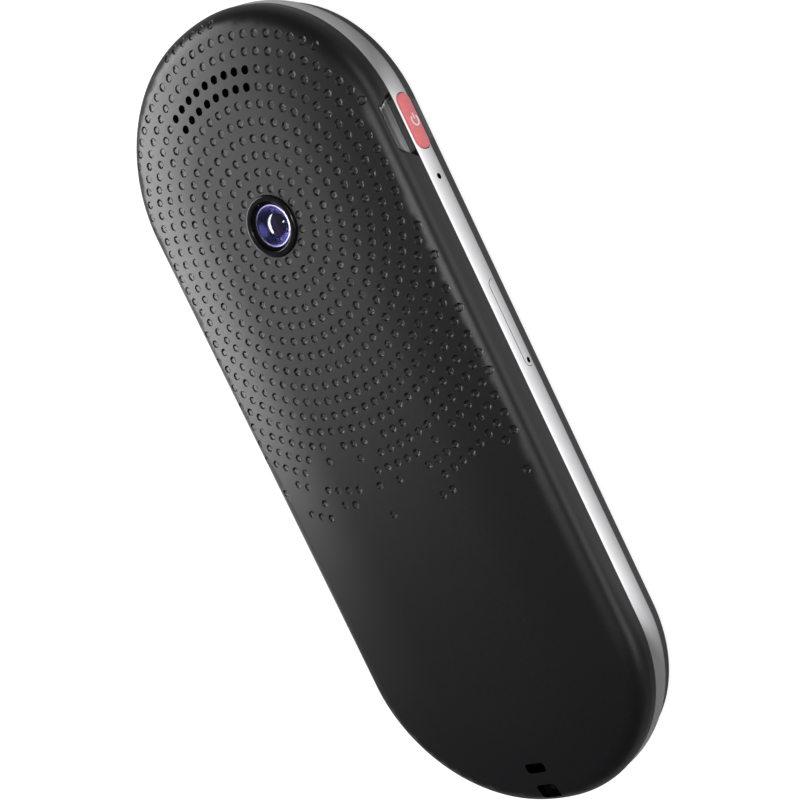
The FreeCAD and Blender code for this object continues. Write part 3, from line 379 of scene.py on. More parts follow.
def cover_height(inset):
    """The rear cover's height at an inset, and how steeply it falls outwards."""
    across = HALF_WIDTH - inset
    if across <= FLAT_HALF:
        return BODY_DEPTH, 0.0
    reach = across - FLAT_HALF
    if reach <= CROWN_RADIUS * math.cos(CORNER_END):
        rise = math.sqrt(CROWN_RADIUS ** 2 - reach ** 2)
        return BODY_DEPTH - CROWN_RADIUS + rise, reach / rise
    reach = across - CORNER_X
    rise = math.sqrt(CORNER_RADIUS ** 2 - reach ** 2)
    return CORNER_Z + rise, reach / rise


def cover_top(x, y):
    return cover_height(outline_inset(x, y))[0]


def cover_normal(x, y, step=0.01):
    """The cover's outward direction, from its slope and the way to the nearest edge."""
    slope = cover_height(outline_inset(x, y))[1]
    out_x = (outline_inset(x - step, y) - outline_inset(x + step, y)) / (2 * step)
    out_y = (outline_inset(x, y - step) - outline_inset(x, y + step)) / (2 * step)
    return Vector((out_x * slope, out_y * slope, 1)).normalized()


def speaker_places():
    places = []
    for radius, count in zip(SPEAKER_RADII, SPEAKER_COUNTS):
        for i in range(count):
            angle = (i - (count - 1) / 2) * SPEAKER_PITCH / radius
            places.append(Vector((radius * math.sin(angle), CAMERA_Y + radius * math.cos(angle))))
    return places


def dimple_places():
    """Rings of dimples round the camera, thinned out by chance towards their lower edge."""
    pick = random.Random(DIMPLE_SEED)
    places = []
    rings = round((CAMERA_Y - DIMPLE_LAST_Y) / DIMPLE_PITCH) + 1
    holes = speaker_places()
    hole_room = DIMPLE_RADIUS + SPEAKER_HOLE + DIMPLE_HOLE_ROOM
    for ring in range(rings):
        radius = DIMPLE_FIRST_RING + ring * DIMPLE_PITCH
        count = round(math.tau * radius / DIMPLE_SPACING)
        for i in range(count):
            angle = math.tau * (i + 0.5 * ((ring + 1) % 2)) / count
            x = radius * math.sin(angle)
            y = CAMERA_Y + radius * math.cos(angle)
            if not is_within(x, y, DIMPLE_INSET):
                continue
            chance = (y - DIMPLE_LAST_Y) / (DIMPLE_FULL_Y - DIMPLE_LAST_Y)
            if pick.random() > chance:
                continue
            if all((Vector((x, y)) - hole).length >= hole_room for hole in holes):
                places.append((x, y))
    return places


class Neighbours:
    """Places sorted into square cells, to find quickly the ones near a point."""

    def __init__(self, places, size):
        self.size = size
        self.cells = {}
        for x, y in places:
            self.cells.setdefault(self.cell(x, y), []).append((x, y))

    def cell(self, x, y):
        return round(x / self.size), round(y / self.size)

    def near(self, x, y):
        i, j = self.cell(x, y)
        for u in (-1, 0, 1):
            for v in (-1, 0, 1):
                yield from self.cells.get((i + u, j + v), ())


def dimple_shape(x, y, dimples):
    """Depth of the dimple at a point, and how its depth falls off along X and Y."""
    for middle_x, middle_y in dimples.near(x, y):
        side = Vector((x - middle_x, y - middle_y)) / DIMPLE_RADIUS
        away = side.length
        if away >= 1 - 1e-4:
            continue
        share = min(1.0, (1 - away) / DIMPLE_WALL)
        lean = 1 - DIMPLE_LEAN * side.x
        fall = Vector((DIMPLE_LEAN * share, 0))
        if share < 1:
            fall += side * (1 / DIMPLE_WALL / away) * lean
        return DIMPLE_DEPTH * share * lean, fall * (DIMPLE_DEPTH / DIMPLE_RADIUS)
    return 0.0, Vector((0, 0))


def edge_profile():
    """The cover's section from the seam, up the side and round the corner to the net."""
    profile = [(COVER_INSET + EDGE_ROUND, BAND_TOP), (COVER_INSET, BAND_TOP + EDGE_ROUND)]
    profile += [(COVER_INSET, lerp(BAND_TOP, CORNER_Z, share)) for share in COVER_SIDE_SHARES]
    last = math.acos((HALF_WIDTH - NET_INSET - CORNER_X) / CORNER_RADIUS)
    for i in range(1, CORNER_STEPS + 1):
        angle = last * i / CORNER_STEPS
        across = CORNER_X + CORNER_RADIUS * math.cos(angle)
        profile.append((HALF_WIDTH - across, CORNER_Z + CORNER_RADIUS * math.sin(angle)))
    return profile


def edge_rings(stations):
    """Points, normals and faces of the cover's side and corner, with the thumb's hollow."""
    profile = edge_profile()
    size = len(profile)
    points, normals = [], []
    for place, out in stations:
        for inset, z in profile:
            points.append(dent_side(place - out * inset + Vector((0, 0, z)), out))
            up = max(0.0, (z - CORNER_Z) / CORNER_RADIUS)
            normals.append((out * math.sqrt(1 - up * up) + Vector((0, 0, up))).normalized())
    for i, (place, out) in enumerate(stations):
        if out.x < SIDE_FACING or abs(place.y - BUTTON_Y) > SCOOP_LENGTH / 2 + BEYOND:
            continue
        a, b = i * size, (i + 1) % len(stations) * size
        for j in range(size):
            up = points[a + min(j + 1, size - 1)] - points[a + max(j - 1, 0)]
            along = points[b + j] - points[a - size + j]
            normals[a + j] = along.cross(up).normalized()
    return points, normals, ring_faces(len(stations), size, False)


def cover_openings():
    """Outlines of the speaker holes, the camera's hole and the cord's two mouths."""
    speakers = [circle(p.x, p.y, SPEAKER_HOLE, SPEAKER_SIDES) for p in speaker_places()]
    camera = circle(0, CAMERA_Y, BEZEL_RADIUS + CAMERA_GAP, CAMERA_SIDES)
    mouths = [
        rounded_box(0, MOUTH_Y, MOUTH_WIDTH, MOUTH_LENGTH, MOUTH_CORNER),
        rounded_box(0, EXIT_Y, MOUTH_WIDTH, EXIT_LENGTH, MOUTH_CORNER),
    ]
    return speakers, camera, mouths


def is_opening(x, y, holes):
    """Whether a point of the cover lies in one of its openings."""
    if math.hypot(x, y - CAMERA_Y) < BEZEL_RADIUS + CAMERA_GAP:
        return True
    if any(math.hypot(x - hole.x, y - hole.y) < SPEAKER_HOLE for hole in holes):
        return True
    if abs(x) > MOUTH_WIDTH / 2:
        return False
    return abs(y - MOUTH_Y) < MOUTH_LENGTH / 2 or abs(y - EXIT_Y) < EXIT_LENGTH / 2


def grid_points(places):
    """A plain grid over the net, clear of its edge, the dimples and the openings."""
    dimples = Neighbours(places, NET_GRID)
    dimple_room = DIMPLE_RADIUS + NET_DIMPLE_ROOM
    barred = [(hole, SPEAKER_HOLE + NET_HOLE_ROOM) for hole in speaker_places()]
    barred.append((Vector((0, CAMERA_Y)), BEZEL_RADIUS + NET_MARGIN))
    across = math.ceil(HALF_WIDTH / NET_GRID)
    along = math.ceil(HALF_LENGTH / NET_GRID)
    points = []
    for i in range(-across, across + 1):
        for j in range(-along, along + 1):
            p = Vector((i * NET_GRID + NET_SHIFT[0], j * NET_GRID + NET_SHIFT[1]))
            if not is_within(p.x, p.y, NET_INSET + NET_MARGIN):
                continue
            if any((p - Vector(q)).length < dimple_room for q in dimples.near(p.x, p.y)):
                continue
            if any((p - q).length < reach for q, reach in barred):
                continue
            if abs(p.x) < MOUTH_WIDTH / 2 + NET_HOLE_ROOM and p.y < MOUTH_Y + MOUTH_LENGTH:
                continue
            points.append(p)
    return points


def cover_net(stations, openings, places):
    """Points and triangles of the flat plan that is lifted onto the crown."""
    flat, edges = [], []

    def add_loop(loop):
        first, count = len(flat), len(loop)
        flat.extend(loop)
        edges.extend((first + i, first + (i + 1) % count) for i in range(count))

    add_loop([Vector((p - out * NET_INSET)[:2]) for p, out in stations])
    for opening in openings:
        add_loop(opening)
    for x, y in places:
        add_loop(circle(x, y, DIMPLE_RADIUS, DIMPLE_SIDES))
        for share in DIMPLE_WALL_SHARES:
            flat.extend(circle(x, y, DIMPLE_RADIUS * (1 - DIMPLE_WALL * share), DIMPLE_SIDES))
        flat.extend(circle(x, y, DIMPLE_RADIUS * DIMPLE_FLOOR_SHARE, DIMPLE_SIDES // 2))
        flat.append(Vector((x, y)))
    flat += grid_points(places)
    net, _, triangles, _, _, _ = delaunay_2d_cdt(flat, edges, [], 1, 1e-5)
    return net, triangles


def make_cover():
    """The rear cover's skin: rings up its side and corner, then a net with every dimple."""
    stations = outline_stations(COVER_SPACING)
    points, normals, faces = edge_rings(stations)
    speakers, camera, mouths = cover_openings()
    holes = speaker_places()
    places = dimple_places()
    net, triangles = cover_net(stations, speakers + [camera] + mouths, places)

    offset = len(points)
    dimples = Neighbours(places, 2 * DIMPLE_RADIUS)
    for p in net:
        deep, fall = dimple_shape(p.x, p.y, dimples)
        points.append(Vector((p.x, p.y, cover_top(p.x, p.y) - deep)))
        normal = cover_normal(p.x, p.y)
        normals.append((normal / normal.z - fall.to_3d()).normalized())
    for a, b, c in triangles:
        middle = (net[a] + net[b] + net[c]) / 3
        if is_opening(middle.x, middle.y, holes):
            continue
        turn = (net[b] - net[a]).cross(net[c] - net[a])
        order = (a, b, c) if turn > 0 else (a, c, b)
        faces.append(tuple(offset + i for i in order))

    def add_wall(loop, low):
        """The wall of an opening, from the skin down to a height."""
        first, count = len(points), len(loop)
        centre = sum(loop, Vector((0, 0))) / count
        for q in loop:
            inward = (centre - q).to_3d().normalized()
            points.extend([Vector((q.x, q.y, cover_top(q.x, q.y))), Vector((q.x, q.y, low))])
            normals.extend([inward, inward])
        for i in range(count):
            a, b = first + 2 * i, first + 2 * ((i + 1) % count)
            faces.append((a, a + 1, b + 1, b))

    for hole in speakers:
        add_wall(hole, cover_top(hole[0].x, hole[0].y) - COVER_WALL)
    add_wall(camera, BEZEL_LOW.z)
    for mouth in mouths:
        add_wall(mouth, TUNNEL_CEILING)
    cover = new_object("cover_skin", points, faces)
    cover.data.normals_split_custom_set_from_vertices(normals)
    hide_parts("rear_cover")
    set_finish(cover, "cover_black")
    return cover


def make_tunnel():
    """The cord's way under the bar: its floor, its sides and the bar's underside."""
    inner_end = MOUTH_Y + MOUTH_LENGTH / 2
    outer_end = MOUTH_Y - MOUTH_LENGTH / 2 - MOUTH_BAR - EXIT_LENGTH
    middle = (inner_end + outer_end) / 2
    loop = rounded_box(0, middle, MOUTH_WIDTH, inner_end - outer_end, MOUTH_CORNER)
    count = len(loop)
    points = [Vector((p.x, p.y, z)) for z in (TUNNEL_FLOOR, TUNNEL_CEILING) for p in loop]
    faces = [tuple(range(count))]
    faces += [(i, i + count, (i + 1) % count + count, (i + 1) % count) for i in range(count)]
    bar_high = MOUTH_Y - MOUTH_LENGTH / 2
    bar_low = bar_high - MOUTH_BAR
    first = len(points)
    for side, y in ((-1, bar_low), (1, bar_low), (1, bar_high), (-1, bar_high)):
        points.append(Vector((side * MOUTH_WIDTH / 2, y, TUNNEL_CEILING)))
    faces.append((first + 3, first + 2, first + 1, first))
    tunnel = new_object("cord_tunnel", points, faces)
    sharpen(tunnel, 30)
    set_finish(tunnel, "cover_black")
    return tunnel


# Band and rim


def band_circle():
    """Centre and radius of the arc that the band bulges along, as (across, z)."""
    low = Vector((HALF_WIDTH - BAND_FOOT_INSET, RIM_TOP))
    middle = Vector((HALF_WIDTH, BAND_BULGE_Z))
    high = Vector((HALF_WIDTH - COVER_INSET, BAND_TOP))
    a, b = middle - low, high - low
    centre_x = b.y * a.length_squared - a.y * b.length_squared
    centre_z = a.x * b.length_squared - b.x * a.length_squared
    centre = Vector((centre_x, centre_z)) / (2 * a.cross(b))
    return low + centre, centre.length


def band_profile(grow=0.0):
    """The band's section as (inset, z) points, its outer edges just broken."""
    centre, radius = band_circle()
    outer = []
    for i in range(BAND_STEPS + 1):
        z = lerp(RIM_TOP + EDGE_ROUND, BAND_TOP - EDGE_ROUND, i / BAND_STEPS)
        across = centre.x + math.sqrt((radius + grow) ** 2 - (z - centre.y) ** 2)
        outer.append((HALF_WIDTH - across, z))
    low = (outer[0][0] + EDGE_ROUND, RIM_TOP)
    high = (outer[-1][0] + EDGE_ROUND, BAND_TOP)
    return [(BAND_WALL, RIM_TOP), low] + outer + [high, (BAND_WALL, BAND_TOP)]


def side_oblong(name, y, z, length, width, corner, low_x, high_x, steps=10):
    """A bar along X with rounded corners, used to cut the band or to take a piece of it."""
    loop = rounded_box(y, z, length, width, corner, steps)
    count = len(loop)
    points = [Vector((x, p.x, p.y)) for x in (low_x, high_x) for p in loop]
    faces = [tuple(reversed(range(count))), tuple(range(count, 2 * count))]
    faces += [(i, (i + 1) % count, (i + 1) % count + count, i + count) for i in range(count)]
    return new_object(name, points, faces, None)


def end_oblong(name, x, z, width, height, low_y, high_y, steps=8):
    """A bar along Y with round sides, used to cut the band's lower end."""
    bar = side_oblong(name, x, z, width, height, height / 2, low_y, high_y, steps)
    bar.data.transform(Matrix(((0, 1, 0, 0), (1, 0, 0, 0), (0, 0, 1, 0), (0, 0, 0, 1))))
    bar.data.flip_normals()
    return bar


def combine(obj, tool, operation):
    """Applies one boolean and removes its tool."""
    modifier = obj.modifiers.new(operation, "BOOLEAN")
    modifier.operation = operation
    modifier.object = tool
    modifier.solver = "EXACT"
    bpy.context.view_layer.update()
    shaped = obj.evaluated_get(bpy.context.evaluated_depsgraph_get())
    mesh = bpy.data.meshes.new_from_object(shaped)
    obj.modifiers.remove(modifier)
    obj.data = mesh
    bpy.data.objects.remove(tool)


def make_band():
    """The metal band with its openings, and the tray's face taken from the same metal."""
    stations = outline_stations(BAND_SPACING)
    band = sweep("metal_band", band_profile(), stations)
    inner = HALF_WIDTH - BAND_WALL - BEYOND
    outer = HALF_WIDTH + BEYOND
    end_outer = -HALF_LENGTH - BEYOND
    end_inner = -HALF_LENGTH + PORT_REACH
    tray_y = (TRAY_LOW.y + TRAY_HIGH.y) / 2
    tray_z = (TRAY_LOW.z + TRAY_HIGH.z) / 2
    tray_length = TRAY_HIGH.y - TRAY_LOW.y
    tray_width = TRAY_HIGH.z - TRAY_LOW.z
    rocker_y = (ROCKER_LOW.y + ROCKER_HIGH.y) / 2
    rocker_z = (ROCKER_LOW.z + ROCKER_HIGH.z) / 2
    rocker_length = ROCKER_HIGH.y - ROCKER_LOW.y
    tools = [
        side_oblong("cut_button", BUTTON_Y, BUTTON_Z, BUTTON_LENGTH + 2 * BUTTON_GAP,
                    BUTTON_WIDTH + 2 * BUTTON_GAP, BUTTON_CORNER + BUTTON_GAP, inner, outer),
        side_oblong("cut_tray", tray_y, tray_z, tray_length + 2 * TRAY_GAP,
                    tray_width + 2 * TRAY_GAP, tray_width / 2 + TRAY_GAP, inner, outer),
        side_oblong("cut_mic", SIDE_MIC_Y, SIDE_MIC_Z, 2 * MIC_RADIUS, 2 * MIC_RADIUS,
                    MIC_RADIUS, inner, outer),
        side_oblong("cut_rocker", rocker_y, rocker_z, rocker_length + 2 * ROCKER_GAP,
                    ROCKER_WIDTH + 2 * ROCKER_GAP, ROCKER_WIDTH / 2 + ROCKER_GAP, -outer, -inner),
        end_oblong("cut_port", 0, PORT_Z, PORT_WIDTH, PORT_HEIGHT, end_outer, end_inner),
        end_oblong("cut_low_mic", LOW_MIC_X, LOW_MIC_Z, 2 * MIC_RADIUS, 2 * MIC_RADIUS,
                   end_outer, end_inner),
    ]
    for tool in tools:
        combine(band, tool, "DIFFERENCE")
    sharpen(band, 25)
    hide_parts("side_frame")
    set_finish(band, "band_metal")

    face = sweep("tray_face", band_profile(TRAY_PROUD), stations, "tray")
    keep = side_oblong("keep_tray", tray_y, tray_z, tray_length, tray_width,
                       tray_width / 2 - TRAY_CORNER_SLACK, inner, outer, 16)
    combine(face, keep, "INTERSECT")
    hole_y = TRAY_LOW.y + PIN_HOLE_FROM_END
    pin = side_oblong("cut_pin", hole_y, tray_z, 2 * PIN_HOLE_RADIUS, 2 * PIN_HOLE_RADIUS,
                      PIN_HOLE_RADIUS, inner, outer)
    combine(face, pin, "DIFFERENCE")
    sharpen(face, 25)
    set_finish(face, "band_metal")
    return band, face


def make_rim():
    """The front rim, one smooth nose from the band's foot to the glass."""
    profile = [(BAND_WALL, RIM_TOP), (RIM_INSET + EDGE_ROUND, RIM_TOP)]
    profile.append((RIM_INSET, RIM_TOP - EDGE_ROUND))
    profile += [(RIM_INSET, lerp(RIM_TOP, RIM_STRAIGHT, share)) for share in RIM_SIDE_SHARES]
    for i in range(RIM_STEPS + 1):
        turn = math.pi / 2 * i / RIM_STEPS
        inset = RIM_LIP - (RIM_LIP - RIM_INSET) * math.cos(turn)
        profile.append((inset, RIM_STRAIGHT - (RIM_STRAIGHT - RIM_NOSE) * math.sin(turn)))
    profile += [(RIM_LIP, GLASS_DEPTH), (RIM_SEAT, GLASS_DEPTH), (RIM_SEAT, RIM_TOP)]
    profile.reverse()
    rim = sweep("front_rim", profile, outline_stations(RIM_SPACING), move=dent_side)
    sharpen(rim, 40)
    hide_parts("front_bezel")
    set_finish(rim, "rim_black")
    return rim


# Camera


def lathe(name, profile, sides=96):
    """Turns a profile of (radius, z) points round the camera's axis."""
    points = []
    for i in range(sides):
        angle = math.tau * i / sides
        for radius, z in profile:
            y = CAMERA_Y + radius * math.sin(angle)
            points.append(Vector((radius * math.cos(angle), y, z)))
    piece = new_object(name, points, ring_faces(sides, len(profile), False))
    sharpen(piece, 35)
    return piece


def round_corner(radius, z, size, start, steps=5):
    """A quarter round in a turned profile, from an angle in quarter turns."""
    turns = [math.pi / 2 * (start + i / steps) for i in range(steps + 1)]
    return [(radius + size * math.cos(t), z + size * math.sin(t)) for t in turns]


def make_bezel(window_low, window_high):
    """The gloss ring, with a rounded outer edge and a lip round the window."""
    top = BEZEL_HIGH.z
    lip = window_high.x + WINDOW_GAP
    profile = [(BEZEL_RADIUS, BEZEL_LOW.z)]
    profile += round_corner(BEZEL_RADIUS - BEZEL_ROUND, top - BEZEL_ROUND, BEZEL_ROUND, 0)
    profile += round_corner(lip + LIP_ROUND, top - LIP_ROUND, LIP_ROUND, 1)
    profile += [(lip, window_low.z), (lip - LIP_SEAT, window_low.z), (lip - LIP_SEAT, BEZEL_LOW.z)]
    ring = lathe("bezel_ring", profile)
    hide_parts("camera_bezel")
    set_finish(ring, "camera_black")
    return ring


def make_window(low, high):
    side_top = high.z - WINDOW_ROUND
    profile = [(AXIS_RADIUS, low.z), (high.x, low.z), (high.x, side_top)]
    profile += round_corner(high.x - WINDOW_ROUND, side_top, WINDOW_ROUND, 0)
    profile.append((AXIS_RADIUS, high.z))
    pane = lathe("window_pane", profile)
    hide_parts("camera_window")
    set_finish(pane, "window_glass")
    return pane


def make_barrel(low, high, lens_low, lens_high):
    """The barrel, with small steps down its mouth to the lens."""
    profile = [(high.x, low.z), (high.x, high.z), (BARREL_MOUTH, high.z)]
    for i in range(1, BARREL_STEPS + 1):
        share = i / BARREL_STEPS
        radius = lerp(BARREL_MOUTH, lens_high.x, share)
        z = lerp(high.z, lens_low.z + BARREL_FOOT, share)
        profile += [(radius + BARREL_STEP, z), (radius, z)]
    barrel = lathe("barrel_steps", profile)
    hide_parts("lens_barrel")
    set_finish(barrel, "lens_glass")
    return barrel


def make_lens(low, high):
    """The domed front lens."""
    base = low.z + LENS_EDGE
    profile = [(high.x, low.z)]
    for i in range(LENS_STEPS + 1):
        turn = math.pi / 2 * i / LENS_STEPS
        radius = max(AXIS_RADIUS, high.x * math.cos(turn))
        profile.append((radius, base + (high.z - base) * math.sin(turn)))
    lens = lathe("front_lens", profile)
    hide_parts("camera_lens")
    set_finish(lens, "lens_glass")
    return lens


def make_mask_ring(high):
    """A thin pale violet ring on the barrel's rim."""
    top = high.z + MASK_PROUD
    ring = lathe("mask_ring", [(high.x - inset, top + rise) for inset, rise in MASK_SECTION])
    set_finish(ring, "steel_plain")
    return ring


def make_camera():
    window = node_box("camera_window")
    barrel = node_box("lens_barrel")
    lens = node_box("camera_lens")
    return [
        make_bezel(*window),
        make_window(*window),
        make_barrel(*barrel, *lens),
        make_lens(*lens),
        make_mask_ring(barrel[1]),
    ]


# Power symbol


def make_power_symbol():
    """A broken ring and a bar, standing just proud of the button's face."""
    low_x = BUTTON_HIGH.x - SYMBOL_SUNK
    high_x = BUTTON_HIGH.x + SYMBOL_PROUD
    points, faces = [], []

    def add_stroke(line):
        """A flat-topped stroke along pairs of places on its two edges."""
        first = len(points)
        for pair in line:
            for u, v in pair:
                points.extend(Vector((x, BUTTON_Y + u, BUTTON_Z + v)) for x in (low_x, high_x))
        last = first + 4 * (len(line) - 1)
        for a in range(first, last, 4):
            b = a + 4
            faces.append((a + 1, b + 1, b + 3, a + 3))
            faces.append((a, b, b + 1, a + 1))
            faces.append((a + 3, b + 3, b + 2, a + 2))
        faces.extend((a, a + 1, a + 3, a + 2) for a in (first, last))

    edges = (SYMBOL_RADIUS - SYMBOL_HALF_STROKE, SYMBOL_RADIUS + SYMBOL_HALF_STROKE)
    ring = []
    for i in range(SYMBOL_STEPS + 1):
        angle = lerp(SYMBOL_OPENING, math.tau - SYMBOL_OPENING, i / SYMBOL_STEPS)
        ring.append([(radius * math.cos(angle), radius * math.sin(angle)) for radius in edges])
    add_stroke(ring)
    add_stroke([((y, -SYMBOL_HALF_STROKE), (y, SYMBOL_HALF_STROKE)) for y in SYMBOL_BAR])
    symbol = new_object("power_symbol", points, faces, "power_key")
    sharpen(symbol, 30)
    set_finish(symbol, "button_coral")
    return symbol


# Materials


def shader_of(material):
    return material.node_tree.nodes["Principled BSDF"]


def new_material(
    name, colour, roughness, metallic=0.0, specular=0.5, coat=0.0, coat_roughness=0.1
):
    material = bpy.data.materials.new(name)
    material.use_nodes = True
    shader = shader_of(material)
    shader.inputs["Base Color"].default_value = (*colour, 1)
    shader.inputs["Roughness"].default_value = roughness
    shader.inputs["Metallic"].default_value = metallic
    shader.inputs["Specular IOR Level"].default_value = specular
    shader.inputs["Coat Weight"].default_value = coat
    shader.inputs["Coat Roughness"].default_value = coat_roughness
    return material


def add_node(owner, kind, **values):
    """Adds a node, and sets its inputs or its settings by name."""
    node = owner.node_tree.nodes.new(kind)
    for key, value in values.items():
        if key in node.inputs:
            node.inputs[key].default_value = value
        else:
            setattr(node, key, value)
    return node


def add_math(owner, operation, first, second, third=None):
    """A math node whose inputs are other nodes' outputs or plain numbers."""
    node = add_node(owner, "ShaderNodeMath", operation=operation)
    for socket, value in zip(node.inputs, (first, second, third)):
        if isinstance(value, bpy.types.NodeSocket):
            link(owner, value, socket)
        elif value is not None:
            socket.default_value = value
    return node.outputs[0]


def add_range(owner, value, ends, results, **settings):
    """Maps a value between two ends onto two results."""
    node = add_node(owner, "ShaderNodeMapRange", **settings)
    node.inputs["From Min"].default_value, node.inputs["From Max"].default_value = ends
    node.inputs["To Min"].default_value, node.inputs["To Max"].default_value = results
    link(owner, value, node.inputs["Value"])
    return node.outputs["Result"]


def link(owner, source, target):
    owner.node_tree.links.new(source, target)


def add_bump(material, height, strength, distance):
    raised = add_node(material, "ShaderNodeBump", Strength=strength, Distance=distance)
    link(material, height, raised.inputs["Height"])
    link(material, raised.outputs["Normal"], shader_of(material).inputs["Normal"])


def add_grain(material, scale, bump, roughness):
    """Noise in object space that varies the roughness and raises a fine grain."""
    place = add_node(material, "ShaderNodeTexCoord")
    noise = add_node(material, "ShaderNodeTexNoise", Scale=scale, Detail=3.0)
    link(material, place.outputs["Object"], noise.inputs["Vector"])
    spread = add_range(material, noise.outputs["Fac"], (0.3, 0.7), roughness)
    link(material, spread, shader_of(material).inputs["Roughness"])
    if bump:
        add_bump(material, noise.outputs["Fac"], bump, 0.00002)
    return noise.outputs["Fac"]


def add_ramp(material, value, dark, light, ends=(0.0, 1.0)):
    """Colours the surface between two tones."""
    ramp = add_node(material, "ShaderNodeValToRGB")
    for element, tone, end in zip(ramp.color_ramp.elements, (dark, light), ends):
        element.color = (*tone, 1)
        element.position = end
    link(material, value, ramp.inputs["Fac"])
    link(material, ramp.outputs["Color"], shader_of(material).inputs["Base Color"])


def make_mesh_cloth():
    """Woven cloth behind the speaker holes."""
    cloth = new_material("mesh_cloth", (0.006, 0.006, 0.006), 0.8)
    weave = add_node(cloth, "ShaderNodeTexWave", Scale=4500.0, Distortion=0.0)
    place = add_node(cloth, "ShaderNodeTexCoord")
    link(cloth, place.outputs["Object"], weave.inputs["Vector"])
    add_bump(cloth, weave.outputs["Fac"], 0.6, 0.00003)
    return cloth


def make_window_glass():
    glass = new_material("window_glass", (0.95, 0.95, 1.0), 0.01)
    shader_of(glass).inputs["Transmission Weight"].default_value = 1.0
    shader_of(glass).inputs["IOR"].default_value = 1.5
    return glass


def make_lens_glass():
    """Coated glass, near black face on, with a painted violet sheen towards its edge in place of the
    coating's reflection.
    """
    lens = new_material(
        "lens_glass", (0.012, 0.012, 0.06), 0.03, specular=0.9, coat=1.0, coat_roughness=0.02
    )
    painted_sheen_angle = add_node(lens, "ShaderNodeLayerWeight", Blend=0.35)
    # Painted sheen: the colour turns violet where the glass is seen edge-on
    add_ramp(lens, painted_sheen_angle.outputs["Facing"], (0.004, 0.005, 0.02), (0.16, 0.08, 0.42))
    return lens


def make_lens_funnel():
    """Dark blue metal, turned in rings round the lens."""
    funnel = new_material("lens_funnel", (0.06, 0.06, 0.22), 0.22, metallic=1.0)
    shader_of(funnel).inputs["Anisotropic"].default_value = 0.85
    around = add_node(funnel, "ShaderNodeTangent", direction_type="RADIAL", axis="Z")
    link(funnel, around.outputs["Tangent"], shader_of(funnel).inputs["Tangent"])
    noise = add_grain(funnel, 900, 0.0, (0.2, 0.26))
    add_ramp(funnel, noise, (0.05, 0.05, 0.20), (0.07, 0.07, 0.25), (0.3, 0.7))
    return funnel


def make_materials():
    made = {}

    def plain(name, colour, low, high, scale=900, bump=0.15, spread=0.15, **more):
        """Roughness, colour and surface vary a little with one noise."""
        material = new_material(name, colour, low, **more)
        noise = add_grain(material, scale, bump, (low, high))
        dark = [c * (1 - spread) for c in colour]
        light = [min(1, c * (1 + spread)) for c in colour]
        add_ramp(material, noise, dark, light, (0.3, 0.7))
        made[name] = material

    plain("cover_black", (0.0065, 0.0065, 0.0075), 0.34, 0.39, 5200, 0.35, specular=0.38)
    plain("band_metal", (0.84, 0.835, 0.85), 0.04, 0.07, 260, 0.0, 0.03, metallic=1.0)
    plain("rim_black", (0.03, 0.03, 0.034), 0.28, 0.36, 1800, 0.1)
    plain("front_glass", (0.006, 0.006, 0.008), 0.02, 0.04, 120, 0.0,
          coat=1.0, coat_roughness=0.02)
    plain("display_dark", (0.01, 0.01, 0.014), 0.1, 0.14, 300, 0.0)
    plain("aluminium_plain", (0.55, 0.55, 0.57), 0.32, 0.42, metallic=1.0)
    plain("camera_black", (0.006, 0.006, 0.008), 0.12, 0.16, 600, 0.0, specular=0.4)
    plain("steel_plain", (0.6, 0.6, 0.61), 0.25, 0.35, 700, metallic=1.0)
    plain("inner_black", (0.03, 0.03, 0.03), 0.5, 0.6)
    plain("foam_black", (0.02, 0.02, 0.02), 0.8, 0.95, 2500, 0.6)
    plain("battery_foil", (0.5, 0.51, 0.53), 0.3, 0.45, 180, 0.3, metallic=1.0)
    plain("board_green", (0.02, 0.11, 0.065), 0.35, 0.45, 500, 0.1)
    plain("key_black", (0.012, 0.012, 0.014), 0.25, 0.32, 2500, 0.1)
    plain("button_coral", (0.93, 0.21, 0.225), 0.3, 0.36, 1200, 0.06, 0.05,
          coat=0.3, coat_roughness=0.15)
    plain("symbol_white", (0.95, 0.93, 0.92), 0.35, 0.4, 1200, 0.0, 0.01)
    made["mesh_cloth"] = make_mesh_cloth()
    made["window_glass"] = make_window_glass()
    made["lens_glass"] = make_lens_glass()
    made["lens_funnel"] = make_lens_funnel()
    plain("ring_lilac", (0.72, 0.68, 1.0), 0.35, 0.42, 900, 0.0, 0.05, metallic=1.0)
    return made


OWN_FINISHES = {
    "power_symbol": "symbol_white",
    "barrel_steps": "lens_funnel",
    "mask_ring": "ring_lilac",
}


def dress(materials, pieces):
    """Gives every CAD node the material of its slot, and every new piece its own."""
    slots = {part["node"]: part["material_slot"] for part in frame["record"]["subparts"]}
    for name, obj in nodes.items():
        finish = materials[slots[name]]
        for slot in obj.material_slots:
            slot.material = finish
        if not obj.material_slots:
            obj.data.materials.append(finish)
    for obj in pieces:
        finish = OWN_FINISHES.get(obj.name, obj["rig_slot"])
        obj.data.materials.clear()
        obj.data.materials.append(materials[finish])


# Stage, light and camera


def make_camera_view():
    """The photograph's viewpoint, with the picture's centre set by the lens's shift."""
    tilts = [Matrix.Rotation(angle, 3, axis) for angle, axis in zip(VIEW_TILT, "XYZ")]
    back = (tilts[2] @ tilts[0] @ tilts[1]).transposed()
    place = back @ Vector((-VIEW_SHIFT[0], -VIEW_SHIFT[1], VIEW_DISTANCE))
    data = bpy.data.cameras.new("photo_view")
    data.sensor_width = 36.0
    data.lens = FOCAL_PIXELS / PICTURE_SIZE * data.sensor_width
    data.shift_x = (PICTURE_SIZE / 2 - PICTURE_CENTRE[0]) / PICTURE_SIZE
    data.shift_y = (PICTURE_CENTRE[1] - PICTURE_SIZE / 2) / PICTURE_SIZE
    data.clip_start = 0.005
    data.clip_end = 20.0
    camera = bpy.data.objects.new("photo_view", data)
    camera.matrix_world = Matrix.Translation(place * MM) @ back.to_4x4()
    bpy.context.scene.collection.objects.link(camera)
    bpy.context.scene.camera = camera


